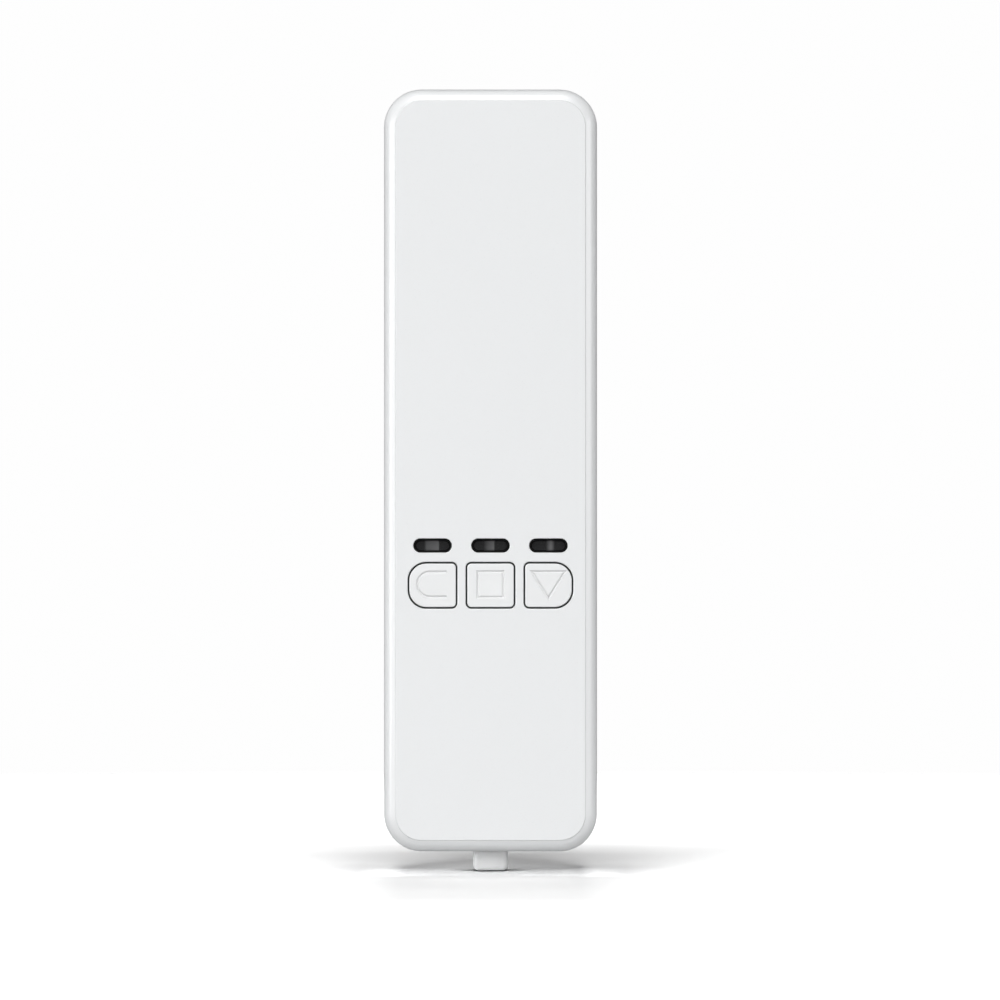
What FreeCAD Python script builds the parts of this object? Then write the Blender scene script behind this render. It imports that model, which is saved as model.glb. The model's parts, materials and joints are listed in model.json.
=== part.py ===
import FreeCAD, Part
import math
import os
import re
import Sketcher
from FreeCAD import Placement, Rotation, Vector

# Curtain motor: a battery driver that hangs on a wall bracket and winds the bead chain of a
# roller blind. Millimetres. The origin is the middle of the bracket's back face, on the wall;
# X runs along the wall, Y into it and Z up. The front of the casing faces -Y.

os.makedirs("parts", exist_ok=True)
doc = FreeCAD.newDocument("CurtainMotor")

# Driving sizes, one cell each
sizes = {
    # casing
    "caseWidth": 44.0,
    "caseHeight": 157.4,
    "caseRound": 7.8,
    "caseWall": 2.2,
    "caseRear": 41.4,
    "wallGap": 0.6,
    "seamDepth": 12.0,
    "rimStep": 0.25,
    "rimInset": 2.4,
    "rimEdge": 2.2,
    "faceEdge": 0.15,
    "rearEdge": 2.0,
    "faceWall": 2.3,
    "lipWall": 1.0,
    "lipReach": 1.2,
    "cavityOver": 0.4,
    "lipGap": 0.1,
    "fitGap": 0.3,
    "slideGap": 0.15,
    "seatGap": 0.05,
    "pressGap": 0.02,
    "runGap": 0.04,
    # case screws
    "lowScrewOut": 16.5,
    "lowScrewUp": 5.6,
    "highScrewOut": 16.8,
    "highScrewDown": 5.2,
    "frontBoss": 2.6,
    "lowColumn": 3.2,
    "highColumn": 2.6,
    "lowHeadDepth": 19.6,
    "screwRadius": 1.1,
    "screwHead": 2.2,
    "screwHeadTall": 1.6,
    "screwTip": 5.4,
    "pilotGap": 0.03,
    # buttons
    "buttonPitch": 11.95,
    "buttonDrop": 8.2,
    "buttonWide": 9.58,
    "buttonTall": 8.96,
    "buttonGap": 0.34,
    "buttonRound": 3.0,
    "buttonCorner": 0.85,
    "buttonEdge": 0.15,
    "flangeOver": 0.6,
    "flangeThick": 0.75,
    "stemRadius": 1.3,
    "stemReach": 0.5,
    "buttonTravel": 0.35,
    "glyphWidth": 0.55,
    "glyphDepth": 0.2,
    "glyphSize": 5.3,
    "triangleHalf": 3.445,
    "openReach": 2.915,
    "openSet": 0.53,
    "plungerRadius": 1.0,
    "plungerLong": 1.1,
    "switchWide": 6.0,
    "switchTall": 1.6,
    "wellRoom": 0.25,
    "guideHalf": 17.6,
    "guideTall": 11.1,
    "guideFront": 3.55,
    "guideThick": 0.7,
    "guideLeg": 0.8,
    "guideHole": 1.6,
    # indicator windows
    "windowDrop": 10.8,
    "windowWide": 7.84,
    "windowTall": 2.78,
    "windowRecess": 0.3,
    "windowLip": 0.7,
    "windowLipThick": 0.65,
    "shroudHalf": 16.6,
    "shroudTall": 4.0,
    "wellWide": 6.4,
    "wellTall": 1.6,
    "ledWide": 1.6,
    "ledDeep": 0.8,
    "ledTall": 0.6,
    # boards
    "boardFront": 6.0,
    "boardThick": 1.2,
    "boardHalf": 18.4,
    "boardBottom": 9.5,
    "boardRound": 1.0,
    "tongueHalf": 7.0,
    "tongueBottom": 3.0,
    "boardBoss": 2.0,
    "boardScrewOut": 15.5,
    "boardScrewLow": 13.0,
    "boardScrewDrop": 3.0,
    "smallScrew": 0.7,
    "smallHead": 1.5,
    "smallHeadTall": 1.0,
    "smallScrewLong": 3.6,
    "chipTall": 1.2,
    "lowChipUp": 14.3,
    "socketChipUp": 11.9,
    "sideChipDrop": 9.5,
    "highChipDrop": 9.5,
    "radioHalf": 7.0,
    "radioLong": 18.0,
    "radioGap": 2.5,
    "radioTall": 1.9,
    # charging socket
    "portWide": 9.4,
    "portTall": 3.7,
    "plugWide": 8.94,
    "plugTall": 3.2,
    "plugLong": 7.3,
    "plugStart": 0.8,
    "plugShell": 0.35,
    "tongueThick": 0.7,
    "contactHalf": 3.3,
    # battery
    "cellRadius": 9.2,
    "batteryRoom": 2.5,
    "cellOut": 9.35,
    "cellDepth": 18.8,
    "cellBottom": 9.0,
    "trayHalf": 19.2,
    "trayFront": 20.0,
    "trayRear": 29.2,
    "trayEnd": 0.8,
    "trayNotch": 12.7,
    "trayNotchTall": 1.7,
    "trayFoot": 2.0,
    "stripThick": 0.3,
    "stripGap": 0.1,
    "stripHalf": 4.2,
    "stripFront": 11.5,
    "stripRear": 25.0,
    "foamHalf": 14.0,
    "foamDrop": 24.0,
    "foamTall": 10.0,
    "foamFront": 7.3,
    "wireRadius": 0.5,
    "wireBend": 1.5,
    "batteryWireTop": 16.0,
    "motorWireDrop": 8.0,
    # motor
    "motorRadius": 12.2,
    "motorDepth": 15.2,
    "motorLong": 31.1,
    "endCapTall": 2.5,
    "endCapInset": 0.3,
    "motorBoss": 3.5,
    "motorBossTall": 1.5,
    "motorScrewOut": 6.5,
    "shaftRadius": 1.0,
    "shaftInMotor": 6.0,
    "damperOut": 11.0,
    "damperIn": 8.5,
    "damperThick": 1.2,
    "terminalOut": 5.0,
    "terminalWide": 2.0,
    "terminalTall": 1.1,
    "terminalThick": 0.8,
    # gearbox
    "gearboxHalf": 17.2,
    "gearboxFront": 9.2,
    "gearboxRear": 27.3,
    "gearboxBelow": 30.52,
    "gearboxAbove": 16.68,
    "gearboxRound": 12.0,
    "gearboxWall": 1.5,
    "gearboxFloor": 1.8,
    "lidThick": 2.0,
    "gearboxPost": 1.6,
    "postHighOut": 12.4,
    "postHighDrop": 5.5,
    "postRightOut": 14.2,
    "postRightRise": 3.8,
    "postLeftOut": 14.4,
    "postLeftRise": 8.4,
    "bushRadius": 2.2,
    "bushRise": 19.6,
    "bushTall": 2.6,
    "bushBlock": 3.6,
    "bushBlockRear": 19.1,
    "outputDrop": 19.28,
    "gearRise": 18.52,
    "toothModule": 0.8,
    "pinionTeeth": 12,
    "outputTeeth": 36,
    "toothShift": 0.35,
    "toothThin": 0.08,
    "wormModule": 0.7,
    "wormRadius": 3.15,
    "wormTeeth": 26,
    "wormThin": 0.16,
    "wormTurns": 5,
    "wormRootShare": 1.2,
    "wormTipShare": 0.95,
    "wormLong": 13.0,
    "wheelWidth": 5.0,
    "pinionRear": 24.4,
    "outputFront": 19.6,
    "outputWidth": 4.4,
    "pinRadius": 1.25,
    "pinBoss": 2.6,
    "outputShaft": 3.0,
    "outputShaftFront": 8.6,
    "outputShaftRear": 36.0,
    "outputBush": 4.4,
    "frontBushRear": 12.4,
    "rearBushRear": 29.2,
    "bushRing": 1.6,
    "clipFront": 24.2,
    "clipThick": 0.6,
    "clipRadius": 4.4,
    "clipGroove": 2.5,
    "clipMouth": 2.0,
    "magnetRadius": 3.0,
    "magnetThick": 1.1,
    "encoderHalf": 12.0,
    "encoderBelow": 7.12,
    "encoderAbove": 6.88,
    "encoderPegOut": 9.0,
    "encoderPeg": 0.8,
    "encoderBoss": 1.6,
    "ribbonLeft": 9.6,
    "ribbonWide": 2.6,
    "ribbonThick": 0.3,
    "ribbonLap": 2.5,
    # chain chamber, sprocket and cover
    "chamberFront": 29.4,
    "chamberRadius": 18.2,
    "sprocketFront": 30.4,
    "sprocketWidth": 7.0,
    "sprocketRim": 14.9,
    "sprocketChamfer": 0.8,
    "beadRadius": 2.25,
    "beadGap": 0.15,
    "beadCircle": 14.35,
    "beadCount": 15,
    "linkSlot": 1.6,
    "linkDepth": 1.6,
    "hubRecess": 1.4,
    "hubRecessOut": 11.0,
    "hubRecessIn": 5.4,
    "sprocketHead": 3.2,
    "sprocketHeadTall": 1.3,
    "sprocketShank": 1.2,
    "slotIn": 11.2,
    "slotOut": 17.5,
    "slotFront": 30.6,
    "slotPast": 3.0,
    "coverThick": 2.0,
    "coverGap": 0.3,
    "hingeBelow": 19.42,
    "hingeIn": 1.4,
    "knuckleHalf": 6.0,
    "knuckleRadius": 1.3,
    "hingePin": 0.75,
    "hingePinHalf": 10.0,
    "recessReach": 1.8,
    "thumbHalf": 5.0,
    "thumbTall": 3.0,
    "thumbDepth": 0.8,
    # bracket and its rack
    "bracketBottom": 8.0,
    "bracketRoom": 11.5,
    "bracketThick": 7.6,
    "bracketFrontHalf": 12.0,
    "bracketBackHalf": 9.0,
    "bracketEdge": 1.2,
    "wallScrewDrop": 11.0,
    "wallScrewPitch": 40.0,
    "wallScrewHole": 2.25,
    "wallScrewHead": 4.75,
    "wallHeadDepth": 4.6,
    "grooveDrop": 8.42,
    "grooveWall": 2.3,
    "rackLow": 18.0,
    "rackPitch": 3.0,
    "rackCount": 9,
    "rackDepth": 1.4,
    "rackNotch": 1.3,
    "rackHalf": 5.0,
    # release
    "channelHalf": 6.0,
    "channelDeep": 2.8,
    "channelTop": 48.0,
    "channelSkin": 2.0,
    "bumpHalf": 8.0,
    "bumpBefore": 2.3,
    "tabHalfWide": 3.7,
    "tabPlay": 0.2,
    "tabBefore": 2.5,
    "tabThick": 4.7,
    "tabDrop": 5.3,
    "tabCorner": 0.9,
    "tabTop": 2.6,
    "tabBlockSkin": 1.7,
    "tabBlockTop": 6.9,
    "releaseTravel": 3.0,
    "sliderHalf": 5.7,
    "sliderLow": 2.4,
    "sliderHigh": 14.0,
    "sliderThick": 2.0,
    "wingHalf": 6.6,
    "wingLow": 3.3,
    "wingHigh": 12.0,
    "wingThick": 0.9,
    "armIn": 4.1,
    "armHigh": 30.6,
    "armTip": 0.6,
    "springRadius": 1.25,
    "springWire": 0.2,
    "springTurns": 7,
    "springPocket": 1.8,
    "springSet": 0.6,
    "stopLow": 25.0,
    "stopTall": 1.5,
    "stopHalf": 3.2,
    "leafThick": 0.4,
    "leafBefore": 1.4,
    "leafHalf": 3.7,
    "leafLow": 28.2,
    "leafHigh": 47.0,
    "leafBend": 42.5,
    "earHalf": 5.4,
    "earLow": 32.2,
    "earTall": 2.8,
    "noseUp": 30.0,
    "noseReach": 2.1,
    "noseHalf": 1.5,
    "leafScrewUp": 44.9,
    "leafHeadTall": 0.6,
    "leafPilotSkin": 0.5,
}

sheet = doc.addObject("Spreadsheet::Sheet", "Sizes")
for row, (name, value) in enumerate(sizes.items(), start=1):
    sheet.set("A%d" % row, str(value))
    sheet.setAlias("A%d" % row, name)
doc.recompute()

# Places worked out from the sizes. A depth is measured back from the front face, and a height
# up from the bottom of the casing, so both become Y and Z by one subtraction.
places = doc.addObject("App::VarSet", "Places")
gauge = doc.addObject("App::VarSet", "Gauge")
gauge.addProperty("App::PropertyFloat", "reading")


def linked(formula):
    """The same formula, with the sheet's or the places' name before each word they own."""
    owned = places.PropertiesList

    def owner(match):
        word = match.group(0)
        if word in sizes:
            return "Sizes." + word
        return "Places." + word if word in owned else word

    return re.sub(r"[A-Za-z_]\w*", owner, str(formula))


def place(name, formula):
    places.addProperty("App::PropertyFloat", name)
    places.setExpression(name, linked(formula))
    places.recompute()


def number(formula):
    """The value that a formula has now."""
    gauge.setExpression("reading", linked(formula))
    gauge.recompute()
    return gauge.reading


def depth(formula):
    return "(%s) + frontY" % formula


def height(formula):
    return "(%s) + baseZ" % formula


place("frontY", "-caseRear - wallGap")
# the drive hangs from the top of the casing, the battery and the boards fill the room below it
place("outputUp", "caseHeight - outputDrop")
place("gearboxTop", "outputUp + gearboxAbove")
place("gearboxBottom", "outputUp - gearboxBelow")
place("postHighUp", "gearboxTop - postHighDrop")
place("postRightUp", "gearboxBottom + postRightRise")
place("postLeftUp", "gearboxBottom + postLeftRise")
place("bushLow", "gearboxBottom + bushRise")
place("shaftTop", "bushLow + bushTall + lipGap")
place("encoderLow", "outputUp - encoderBelow")
place("encoderHigh", "outputUp + encoderAbove")
place("hingeUp", "outputUp - hingeBelow")
place("motorBottom", "gearboxBottom - motorLong")
place("cellTop", "motorBottom - batteryRoom")
place("boardTop", "cellTop")
place("boardScrewHigh", "boardTop - boardScrewDrop")
place("windowUp", "boardTop - windowDrop")
place("buttonUp", "windowUp - buttonDrop")
place("motorWireLow", "boardTop - motorWireDrop")
place("foamLow", "boardTop - foamDrop")
place("radioHigh", "foamLow - radioGap")
place("radioLow", "radioHigh - radioLong")
place("grooveTop", "outputUp - chamberRadius - grooveDrop")
place("bracketTop", "grooveTop - bracketRoom")
place("wallScrewUp", "bracketTop - wallScrewDrop - wallScrewPitch")
place("baseZ", "-(bracketBottom + bracketTop) / 2")
place("caseHalf", "caseWidth / 2")
place("innerHalf", "caseHalf - caseWall")
place("innerRound", "caseRound - caseWall")
place("innerTop", "caseHeight - caseWall")
place("bossEnd", "seamDepth - lipReach - lipGap")
place("boardRear", "boardFront + boardThick")
place("portDepth", "boardRear + plugTall / 2")
place("gearDistance", "toothModule * (pinionTeeth + outputTeeth) / 2")
place("wheelX", "sqrt(gearDistance ^ 2 - gearRise ^ 2)")
place("wheelUp", "outputUp - gearRise")
place("wheelRadius", "wormModule * wormTeeth / 2")
place("motorX", "wheelX - wheelRadius - wormRadius")
place("wormLow", "wheelUp - wormLong / 2")
place("lidFront", "gearboxRear - lidThick")
place("wheelFront", "motorDepth - wheelWidth / 2")
place("wheelRear", "motorDepth + wheelWidth / 2")
place("coverRadius", "chamberRadius - coverGap")
place("sprocketRear", "sprocketFront + sprocketWidth")
place("beadDepth", "sprocketFront + sprocketWidth / 2")
place("bracketFront", "caseRear + wallGap - bracketThick")
place("grooveFront", "bracketFront - fitGap - lipGap")
place("channelFront", "bracketFront - channelDeep")
place("cavityRear", "channelFront + cavityOver")
place("bumpFront", "channelFront - bumpBefore")
place("tabFrontFace", "channelFront - tabBefore")
place("tabRearFace", "tabFrontFace + tabThick")
place("tabBlockFront", "tabFrontFace - tabBlockSkin")
place("springDepth", "channelFront + springSet")
place("leafFront", "bracketFront - leafBefore")
place("coverFront", "caseRear - coverThick")
place("hingeDepth", "caseRear - hingeIn")
place("triangleSide", "sqrt(triangleHalf ^ 2 + glyphSize ^ 2)")
place("trayLow", "cellBottom - stripThick - stripGap - trayEnd")
place("trayHigh", "cellTop + stripThick + stripGap + trayEnd")
place("pocketIn", "bracketFrontHalf + fitGap + grooveWall")
place("pocketTop", "grooveTop + caseWall")
place("chamberFloor", "gearboxRear + lipGap")
place("buttonHalf", "buttonWide / 2")
place("buttonHigh", "buttonTall / 2")
place("flangeFront", "faceWall + seatGap")
place("flangeRear", "flangeFront + flangeThick")
place("stemEnd", "flangeRear + stemReach")
place("switchFront", "boardFront - switchTall")
place("switchWell", "stemEnd + plungerLong - switchFront + buttonTravel + wellRoom")
place("windowHigh", "windowTall / 2")
place("windowReach", "windowWide / 2 - windowHigh")
place("highScrewUp", "caseHeight - highScrewDown")
place("encoderRear", "outputShaftFront - magnetThick - fitGap")

holders = []
turned = {
    "x": Rotation(Vector(0, 1, 0), 90),
    "y": Rotation(Vector(1, 0, 0), -90),
    "z": Rotation(),
}


def bind(thing, name, formula):
    thing.setExpression(name, linked(formula))


def box(x, y, z, name="Block"):
    """A block between two formulas along each axis."""
    solid = doc.addObject("Part::Box", name)
    for side, axis, (low, high) in zip(("Length", "Width", "Height"), "xyz", (x, y, z)):
        bind(solid, side, "(%s) - (%s)" % (high, low))
        bind(solid, "Placement.Base.%s" % axis, low)
    return solid


def rod(radius, x, y, z, along, name="Rod"):
    """A cylinder along one axis: that axis gets a pair of formulas, the others one each."""
    solid = doc.addObject("Part::Cylinder", name)
    solid.Placement = Placement(Vector(), turned[along])
    bind(solid, "Radius", radius)
    for axis, value in zip("xyz", (x, y, z)):
        if axis == along:
            low, high = value
            bind(solid, "Height", "(%s) - (%s)" % (high, low))
            value = low
        bind(solid, "Placement.Base.%s" % axis, value)
    return solid


def joined(solids, name="Union", refined=True):
    solids = list(solids)
    if len(solids) == 1:
        return solids[0]
    whole = doc.addObject("Part::MultiFuse", name)
    whole.Shapes = solids
    whole.Refine = refined
    return whole


def carved(base, tools, name="Carved"):
    whole = doc.addObject("Part::Cut", name)
    whole.Base = base
    whole.Tool = joined(tools, "Tools", refined=False)
    return whole


def sub_part(label, solid):
    """Name a finished object as one sub-part."""
    solid.Label = label
    holders.append(solid)
    return solid


def shaped(label, shape, spot=Vector()):
    """A sub-part whose shape is worked out here from the sheet, set down at a spot."""
    solid = doc.addObject("Part::Feature", label)
    solid.Shape = shape
    solid.Placement = Placement(spot, Rotation())
    return sub_part(label, solid)


def mirrored(value, mark):
    return "%s(%s)" % ("-" if mark < 0 else "", value)


def wide(half):
    return "-(%s)" % half, half


# Sketches. Each stands on one origin plane of its own body.
planes = {"XZ": ("XZ_Plane", -1), "XY": ("XY_Plane", 1), "YZ": ("YZ_Plane", 1)}


def body(label):
    whole = doc.addObject("PartDesign::Body", label)
    return sub_part(label, whole)


def drawing(owner, plane, level):
    role, way = planes[plane]
    sketch = owner.newObject("Sketcher::SketchObject", "Outline")
    base = [item for item in owner.Origin.OriginFeatures if item.Role == role][0]
    sketch.AttachmentSupport = [(base, "")]
    sketch.MapMode = "FlatFace"
    sign = "" if way > 0 else "-"
    bind(sketch, "AttachmentOffset.Base.z", "%s(%s)" % (sign, level))
    return sketch


def pinned(sketch, item, end, u, v):
    """Hold one point of a sketch at two formulas, measured from its origin."""
    for kind, formula in (("DistanceX", u), ("DistanceY", v)):
        index = sketch.addConstraint(
            Sketcher.Constraint(kind, -1, 1, item, end, number(formula))
        )
        bind(sketch, "Constraints[%d]" % index, formula)


def sized(sketch, item, radius):
    index = sketch.addConstraint(Sketcher.Constraint("Radius", item, number(radius)))
    bind(sketch, "Constraints[%d]" % index, radius)


def at(u, v):
    return Vector(number(u), number(v), 0)


def polygon(sketch, points):
    """A closed outline with straight sides."""
    items = []
    for (u, v), (nextU, nextV) in zip(points, points[1:] + points[:1]):
        items.append(
            sketch.addGeometry(Part.LineSegment(at(u, v), at(nextU, nextV)), False)
        )
    for item, after in zip(items, items[1:] + items[:1]):
        sketch.addConstraint(Sketcher.Constraint("Coincident", item, 2, after, 1))
    for item, (u, v) in zip(items, points):
        pinned(sketch, item, 1, u, v)


def disc(sketch, u, v, radius):
    circle = Part.Circle(at(u, v), Vector(0, 0, 1), number(radius))
    item = sketch.addGeometry(circle, False)
    pinned(sketch, item, 3, u, v)
    sized(sketch, item, radius)


def rounded(sketch, u, v, rounds):
    """A rectangle between two pairs of formulas. rounds gives its corners' radii, from the
    lower left one on, anticlockwise; one formula stands for all four."""
    if isinstance(rounds, str):
        rounds = [rounds] * 4
    (left, right), (low, high) = u, v
    corners = [(left, low), (right, low), (right, high), (left, high)]
    inward = [(1, 1), (-1, 1), (-1, -1), (1, -1)]
    points = []
    for (cornerU, cornerV), (wayU, wayV), radius, index in zip(corners, inward, rounds, range(4)):
        alongU = ("(%s) %s (%s)" % (cornerU, "+" if wayU > 0 else "-", radius), cornerV)
        alongV = (cornerU, "(%s) %s (%s)" % (cornerV, "+" if wayV > 0 else "-", radius))
        points.append((alongV, alongU) if index % 2 == 0 else (alongU, alongV))
    lines = []
    for index in range(4):
        start, end = points[index][1], points[(index + 1) % 4][0]
        lines.append(sketch.addGeometry(Part.LineSegment(at(*start), at(*end)), False))
        pinned(sketch, lines[-1], 1, *start)
        pinned(sketch, lines[-1], 2, *end)
    for index, radius in enumerate(rounds):
        before, after = lines[index - 1], lines[index]
        (cornerU, cornerV), (wayU, wayV) = corners[index], inward[index]
        middle = at(cornerU, cornerV) + Vector(wayU, wayV, 0) * number(radius)
        turn = math.pi * (1 + index / 2)
        circle = Part.Circle(middle, Vector(0, 0, 1), number(radius))
        arc = Part.ArcOfCircle(circle, turn, turn + math.pi / 2)
        item = sketch.addGeometry(arc, False)
        sketch.addConstraint(Sketcher.Constraint("Coincident", item, 1, before, 2))
        sketch.addConstraint(Sketcher.Constraint("Coincident", item, 2, after, 1))
        sized(sketch, item, radius)


def stadium(sketch, u, v, radius):
    """A slot with round ends. u holds the two centres' places along it, v the one across."""
    (left, right), line = u, v
    reach = number(radius)
    quarter = math.pi / 2
    up = Vector(0, reach, 0)
    lower, upper = Part.Circle(at(left, line), Vector(0, 0, 1), reach), Part.Circle(
        at(right, line), Vector(0, 0, 1), reach
    )
    first = sketch.addGeometry(Part.ArcOfCircle(lower, quarter, 3 * quarter), False)
    last = sketch.addGeometry(Part.ArcOfCircle(upper, -quarter, quarter), False)
    bottom = sketch.addGeometry(
        Part.LineSegment(at(left, line) - up, at(right, line) - up), False
    )
    top = sketch.addGeometry(Part.LineSegment(at(right, line) + up, at(left, line) + up), False)
    for one, end, other, start in (
        (first, 2, bottom, 1),
        (bottom, 2, last, 1),
        (last, 2, top, 1),
        (top, 2, first, 1),
    ):
        sketch.addConstraint(Sketcher.Constraint("Tangent", one, end, other, start))
    sized(sketch, first, radius)
    pinned(sketch, first, 3, left, line)
    pinned(sketch, last, 3, right, line)


def grown(owner, plane, span, draw, taking=False):
    """Pad or pocket what draw puts in a new sketch, between two levels along the plane's axis."""
    low, high = span
    before = 0.0 if owner.Shape.isNull() else owner.Shape.Volume
    sketch = drawing(owner, plane, low)
    draw(sketch)
    doc.recompute()
    kind = "PartDesign::Pocket" if taking else "PartDesign::Pad"
    feature = owner.newObject(kind, "Pocket" if taking else "Pad")
    feature.Profile = sketch
    bind(feature, "Length", "(%s) - (%s)" % (high, low))
    feature.Reversed = (planes[plane][1] < 0) != taking
    doc.recompute()
    change = owner.Shape.Volume - before
    if (change > 0) == taking:
        raise RuntimeError("%s: a feature went the wrong way" % owner.Label)
    return feature


def taken(owner, plane, span, draw):
    return grown(owner, plane, span, draw, taking=True)


def softened(owner, feature, radius, chosen, kind="PartDesign::Fillet"):
    """Round the edges of a feature that chosen picks by their middle and box."""
    names = [
        "Edge%d" % index
        for index, edge in enumerate(feature.Shape.Edges, start=1)
        if chosen(edge)
    ]
    edges = owner.newObject(kind, "Edges")
    edges.Base = (feature, names)
    bind(edges, "Radius" if kind.endswith("Fillet") else "Size", radius)
    doc.recompute()
    return edges


def on_level(axis, formula):
    """Picks edges that lie wholly at one level along an axis."""
    level = number(formula)
    reach = {"x": ("XMin", "XMax"), "y": ("YMin", "YMax"), "z": ("ZMin", "ZMax")}[axis]

    def chosen(edge):
        return all(abs(getattr(edge.BoundBox, name) - level) < 1e-4 for name in reach)

    return chosen


def casing_outline(inset):
    """The casing's front outline, drawn in by an inset."""

    def draw(sketch):
        rounded(
            sketch,
            wide("caseHalf - (%s)" % inset),
            (height(inset), height("caseHeight - (%s)" % inset)),
            "caseRound - (%s)" % inset,
        )

    return draw


def discs(spots, radius):
    def draw(sketch):
        for u, v in spots:
            disc(sketch, u, v, radius)

    return draw


def rectangle(u, v):
    def draw(sketch):
        (left, right), (low, high) = u, v
        polygon(sketch, [(left, low), (right, low), (right, high), (left, high)])

    return draw


# Places that several pieces share
lowScrews = [(mirrored("lowScrewOut", mark), height("lowScrewUp")) for mark in (-1, 1)]
highScrews = [(mirrored("highScrewOut", mark), height("highScrewUp")) for mark in (-1, 1)]
boardScrews = [
    (mirrored("boardScrewOut", mark), height(up))
    for mark in (-1, 1)
    for up in ("boardScrewLow", "boardScrewHigh")
]
gearboxPosts = [
    ("-postHighOut", height("postHighUp")),
    ("postHighOut", height("postHighUp")),
    ("postRightOut", height("postRightUp")),
    ("-postLeftOut", height("postLeftUp")),
]
buttonNames = ["up", "stop", "down"]
buttonSpots = [mirrored("buttonPitch", -1), "0", "buttonPitch"]
windowNames = ["left", "middle", "right"]
outputAxis = height("outputUp")
wheelAxis = height("wheelUp")


def button_outline(index, over):
    """One button's outline with its outer corners rounder, grown by a margin on every side."""
    spot = buttonSpots[index]
    outer, inner = "buttonRound + (%s)" % over, "buttonCorner + (%s)" % over
    rounds = {0: [outer, inner, inner, outer], 1: [inner] * 4, 2: [inner, outer, outer, inner]}

    def draw(sketch):
        rounded(
            sketch,
            ("%s - buttonHalf - (%s)" % (spot, over), "%s + buttonHalf + (%s)" % (spot, over)),
            (
                height("buttonUp - buttonHigh - (%s)" % over),
                height("buttonUp + buttonHigh + (%s)" % over),
            ),
            rounds[index],
        )

    return draw


def window_outline(index, over):
    spot = buttonSpots[index]

    def draw(sketch):
        ends = "%s - windowReach" % spot, "%s + windowReach" % spot
        stadium(sketch, ends, height("windowUp"), "windowHigh + (%s)" % over)

    return draw


def all_of(draws):
    def draw(sketch):
        for one in draws:
            one(sketch)

    return draw


# Casing


def front_shell():
    shell = body("front_shell")
    face, seam = depth("rimStep"), depth("seamDepth")
    block = grown(shell, "XZ", (face, seam), casing_outline("0"))
    softened(shell, block, "rimEdge", on_level("y", face))
    plateau = grown(shell, "XZ", (depth("0"), face), casing_outline("rimInset"))
    softened(shell, plateau, "faceEdge", on_level("y", depth("0")))
    taken(shell, "XZ", (depth("faceWall"), depth("seamDepth + lipGap")), casing_outline("caseWall"))
    rebate = casing_outline("caseWall - lipWall - lipGap")
    taken(shell, "XZ", (depth("bossEnd"), depth("seamDepth + lipGap")), rebate)
    bosses = (depth("faceWall - lipGap"), depth("bossEnd"))
    grown(shell, "XZ", bosses, discs(lowScrews + highScrews, "frontBoss"))
    posts = (depth("faceWall - lipGap"), depth("gearboxFront - lipGap"))
    grown(shell, "XZ", posts, discs(gearboxPosts, "gearboxPost"))
    stands = (depth("faceWall - lipGap"), depth("boardFront"))
    grown(shell, "XZ", stands, discs(boardScrews, "boardBoss"))
    pilots = (depth("screwTip - fitGap"), depth("seamDepth"))
    taken(shell, "XZ", pilots, discs(lowScrews + highScrews, "screwRadius + pilotGap"))
    small = (depth("boardRear - smallScrewLong - lipGap"), depth("seamDepth"))
    taken(shell, "XZ", small, discs(boardScrews, "smallScrew + pilotGap"))
    through = (depth("-fitGap"), depth("faceWall + lipGap"))
    taken(shell, "XZ", through, all_of([button_outline(n, "buttonGap") for n in range(3)]))
    taken(shell, "XZ", through, all_of([window_outline(n, "seatGap") for n in range(3)]))

    def port(sketch):
        ends = wide("portWide / 2 - portTall / 2")
        stadium(sketch, ends, depth("portDepth"), "portTall / 2")

    taken(shell, "XY", (height("-fitGap"), height("caseWall + lipGap")), port)


def dovetail(frontHalf, backHalf, front, back):
    """The bracket's section, wider at its front."""

    def draw(sketch):
        points = [(frontHalf, front), (backHalf, back)]
        points += [("-(%s)" % backHalf, back), ("-(%s)" % frontHalf, front)]
        polygon(sketch, points)

    return draw


def chamber_outline(radius, top):
    """A U: half a circle below and straight sides up to a top line."""

    def draw(sketch):
        reach = number(radius)
        middle = at("0", outputAxis)
        crown = number(top)
        left, right = Vector(-reach, middle.y, 0), Vector(reach, middle.y, 0)
        bowl = Part.ArcOfCircle(Part.Circle(middle, Vector(0, 0, 1), reach), math.pi, 2 * math.pi)
        arc = sketch.addGeometry(bowl, False)
        rise = sketch.addGeometry(Part.LineSegment(right, Vector(reach, crown, 0)), False)
        roof = sketch.addGeometry(
            Part.LineSegment(Vector(reach, crown, 0), Vector(-reach, crown, 0)), False
        )
        fall = sketch.addGeometry(Part.LineSegment(Vector(-reach, crown, 0), left), False)
        for kind in (
            ("Tangent", arc, 2, rise, 1),
            ("Coincident", rise, 2, roof, 1),
            ("Coincident", roof, 2, fall, 1),
            ("Tangent", fall, 2, arc, 1),
            ("Vertical", rise),
            ("Horizontal", roof),
        ):
            sketch.addConstraint(Sketcher.Constraint(*kind))
        sized(sketch, arc, radius)
        pinned(sketch, arc, 3, "0", outputAxis)
        index = sketch.addConstraint(Sketcher.Constraint("DistanceY", -1, 1, rise, 2, crown))
        bind(sketch, "Constraints[%d]" % index, top)

    return draw


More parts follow.
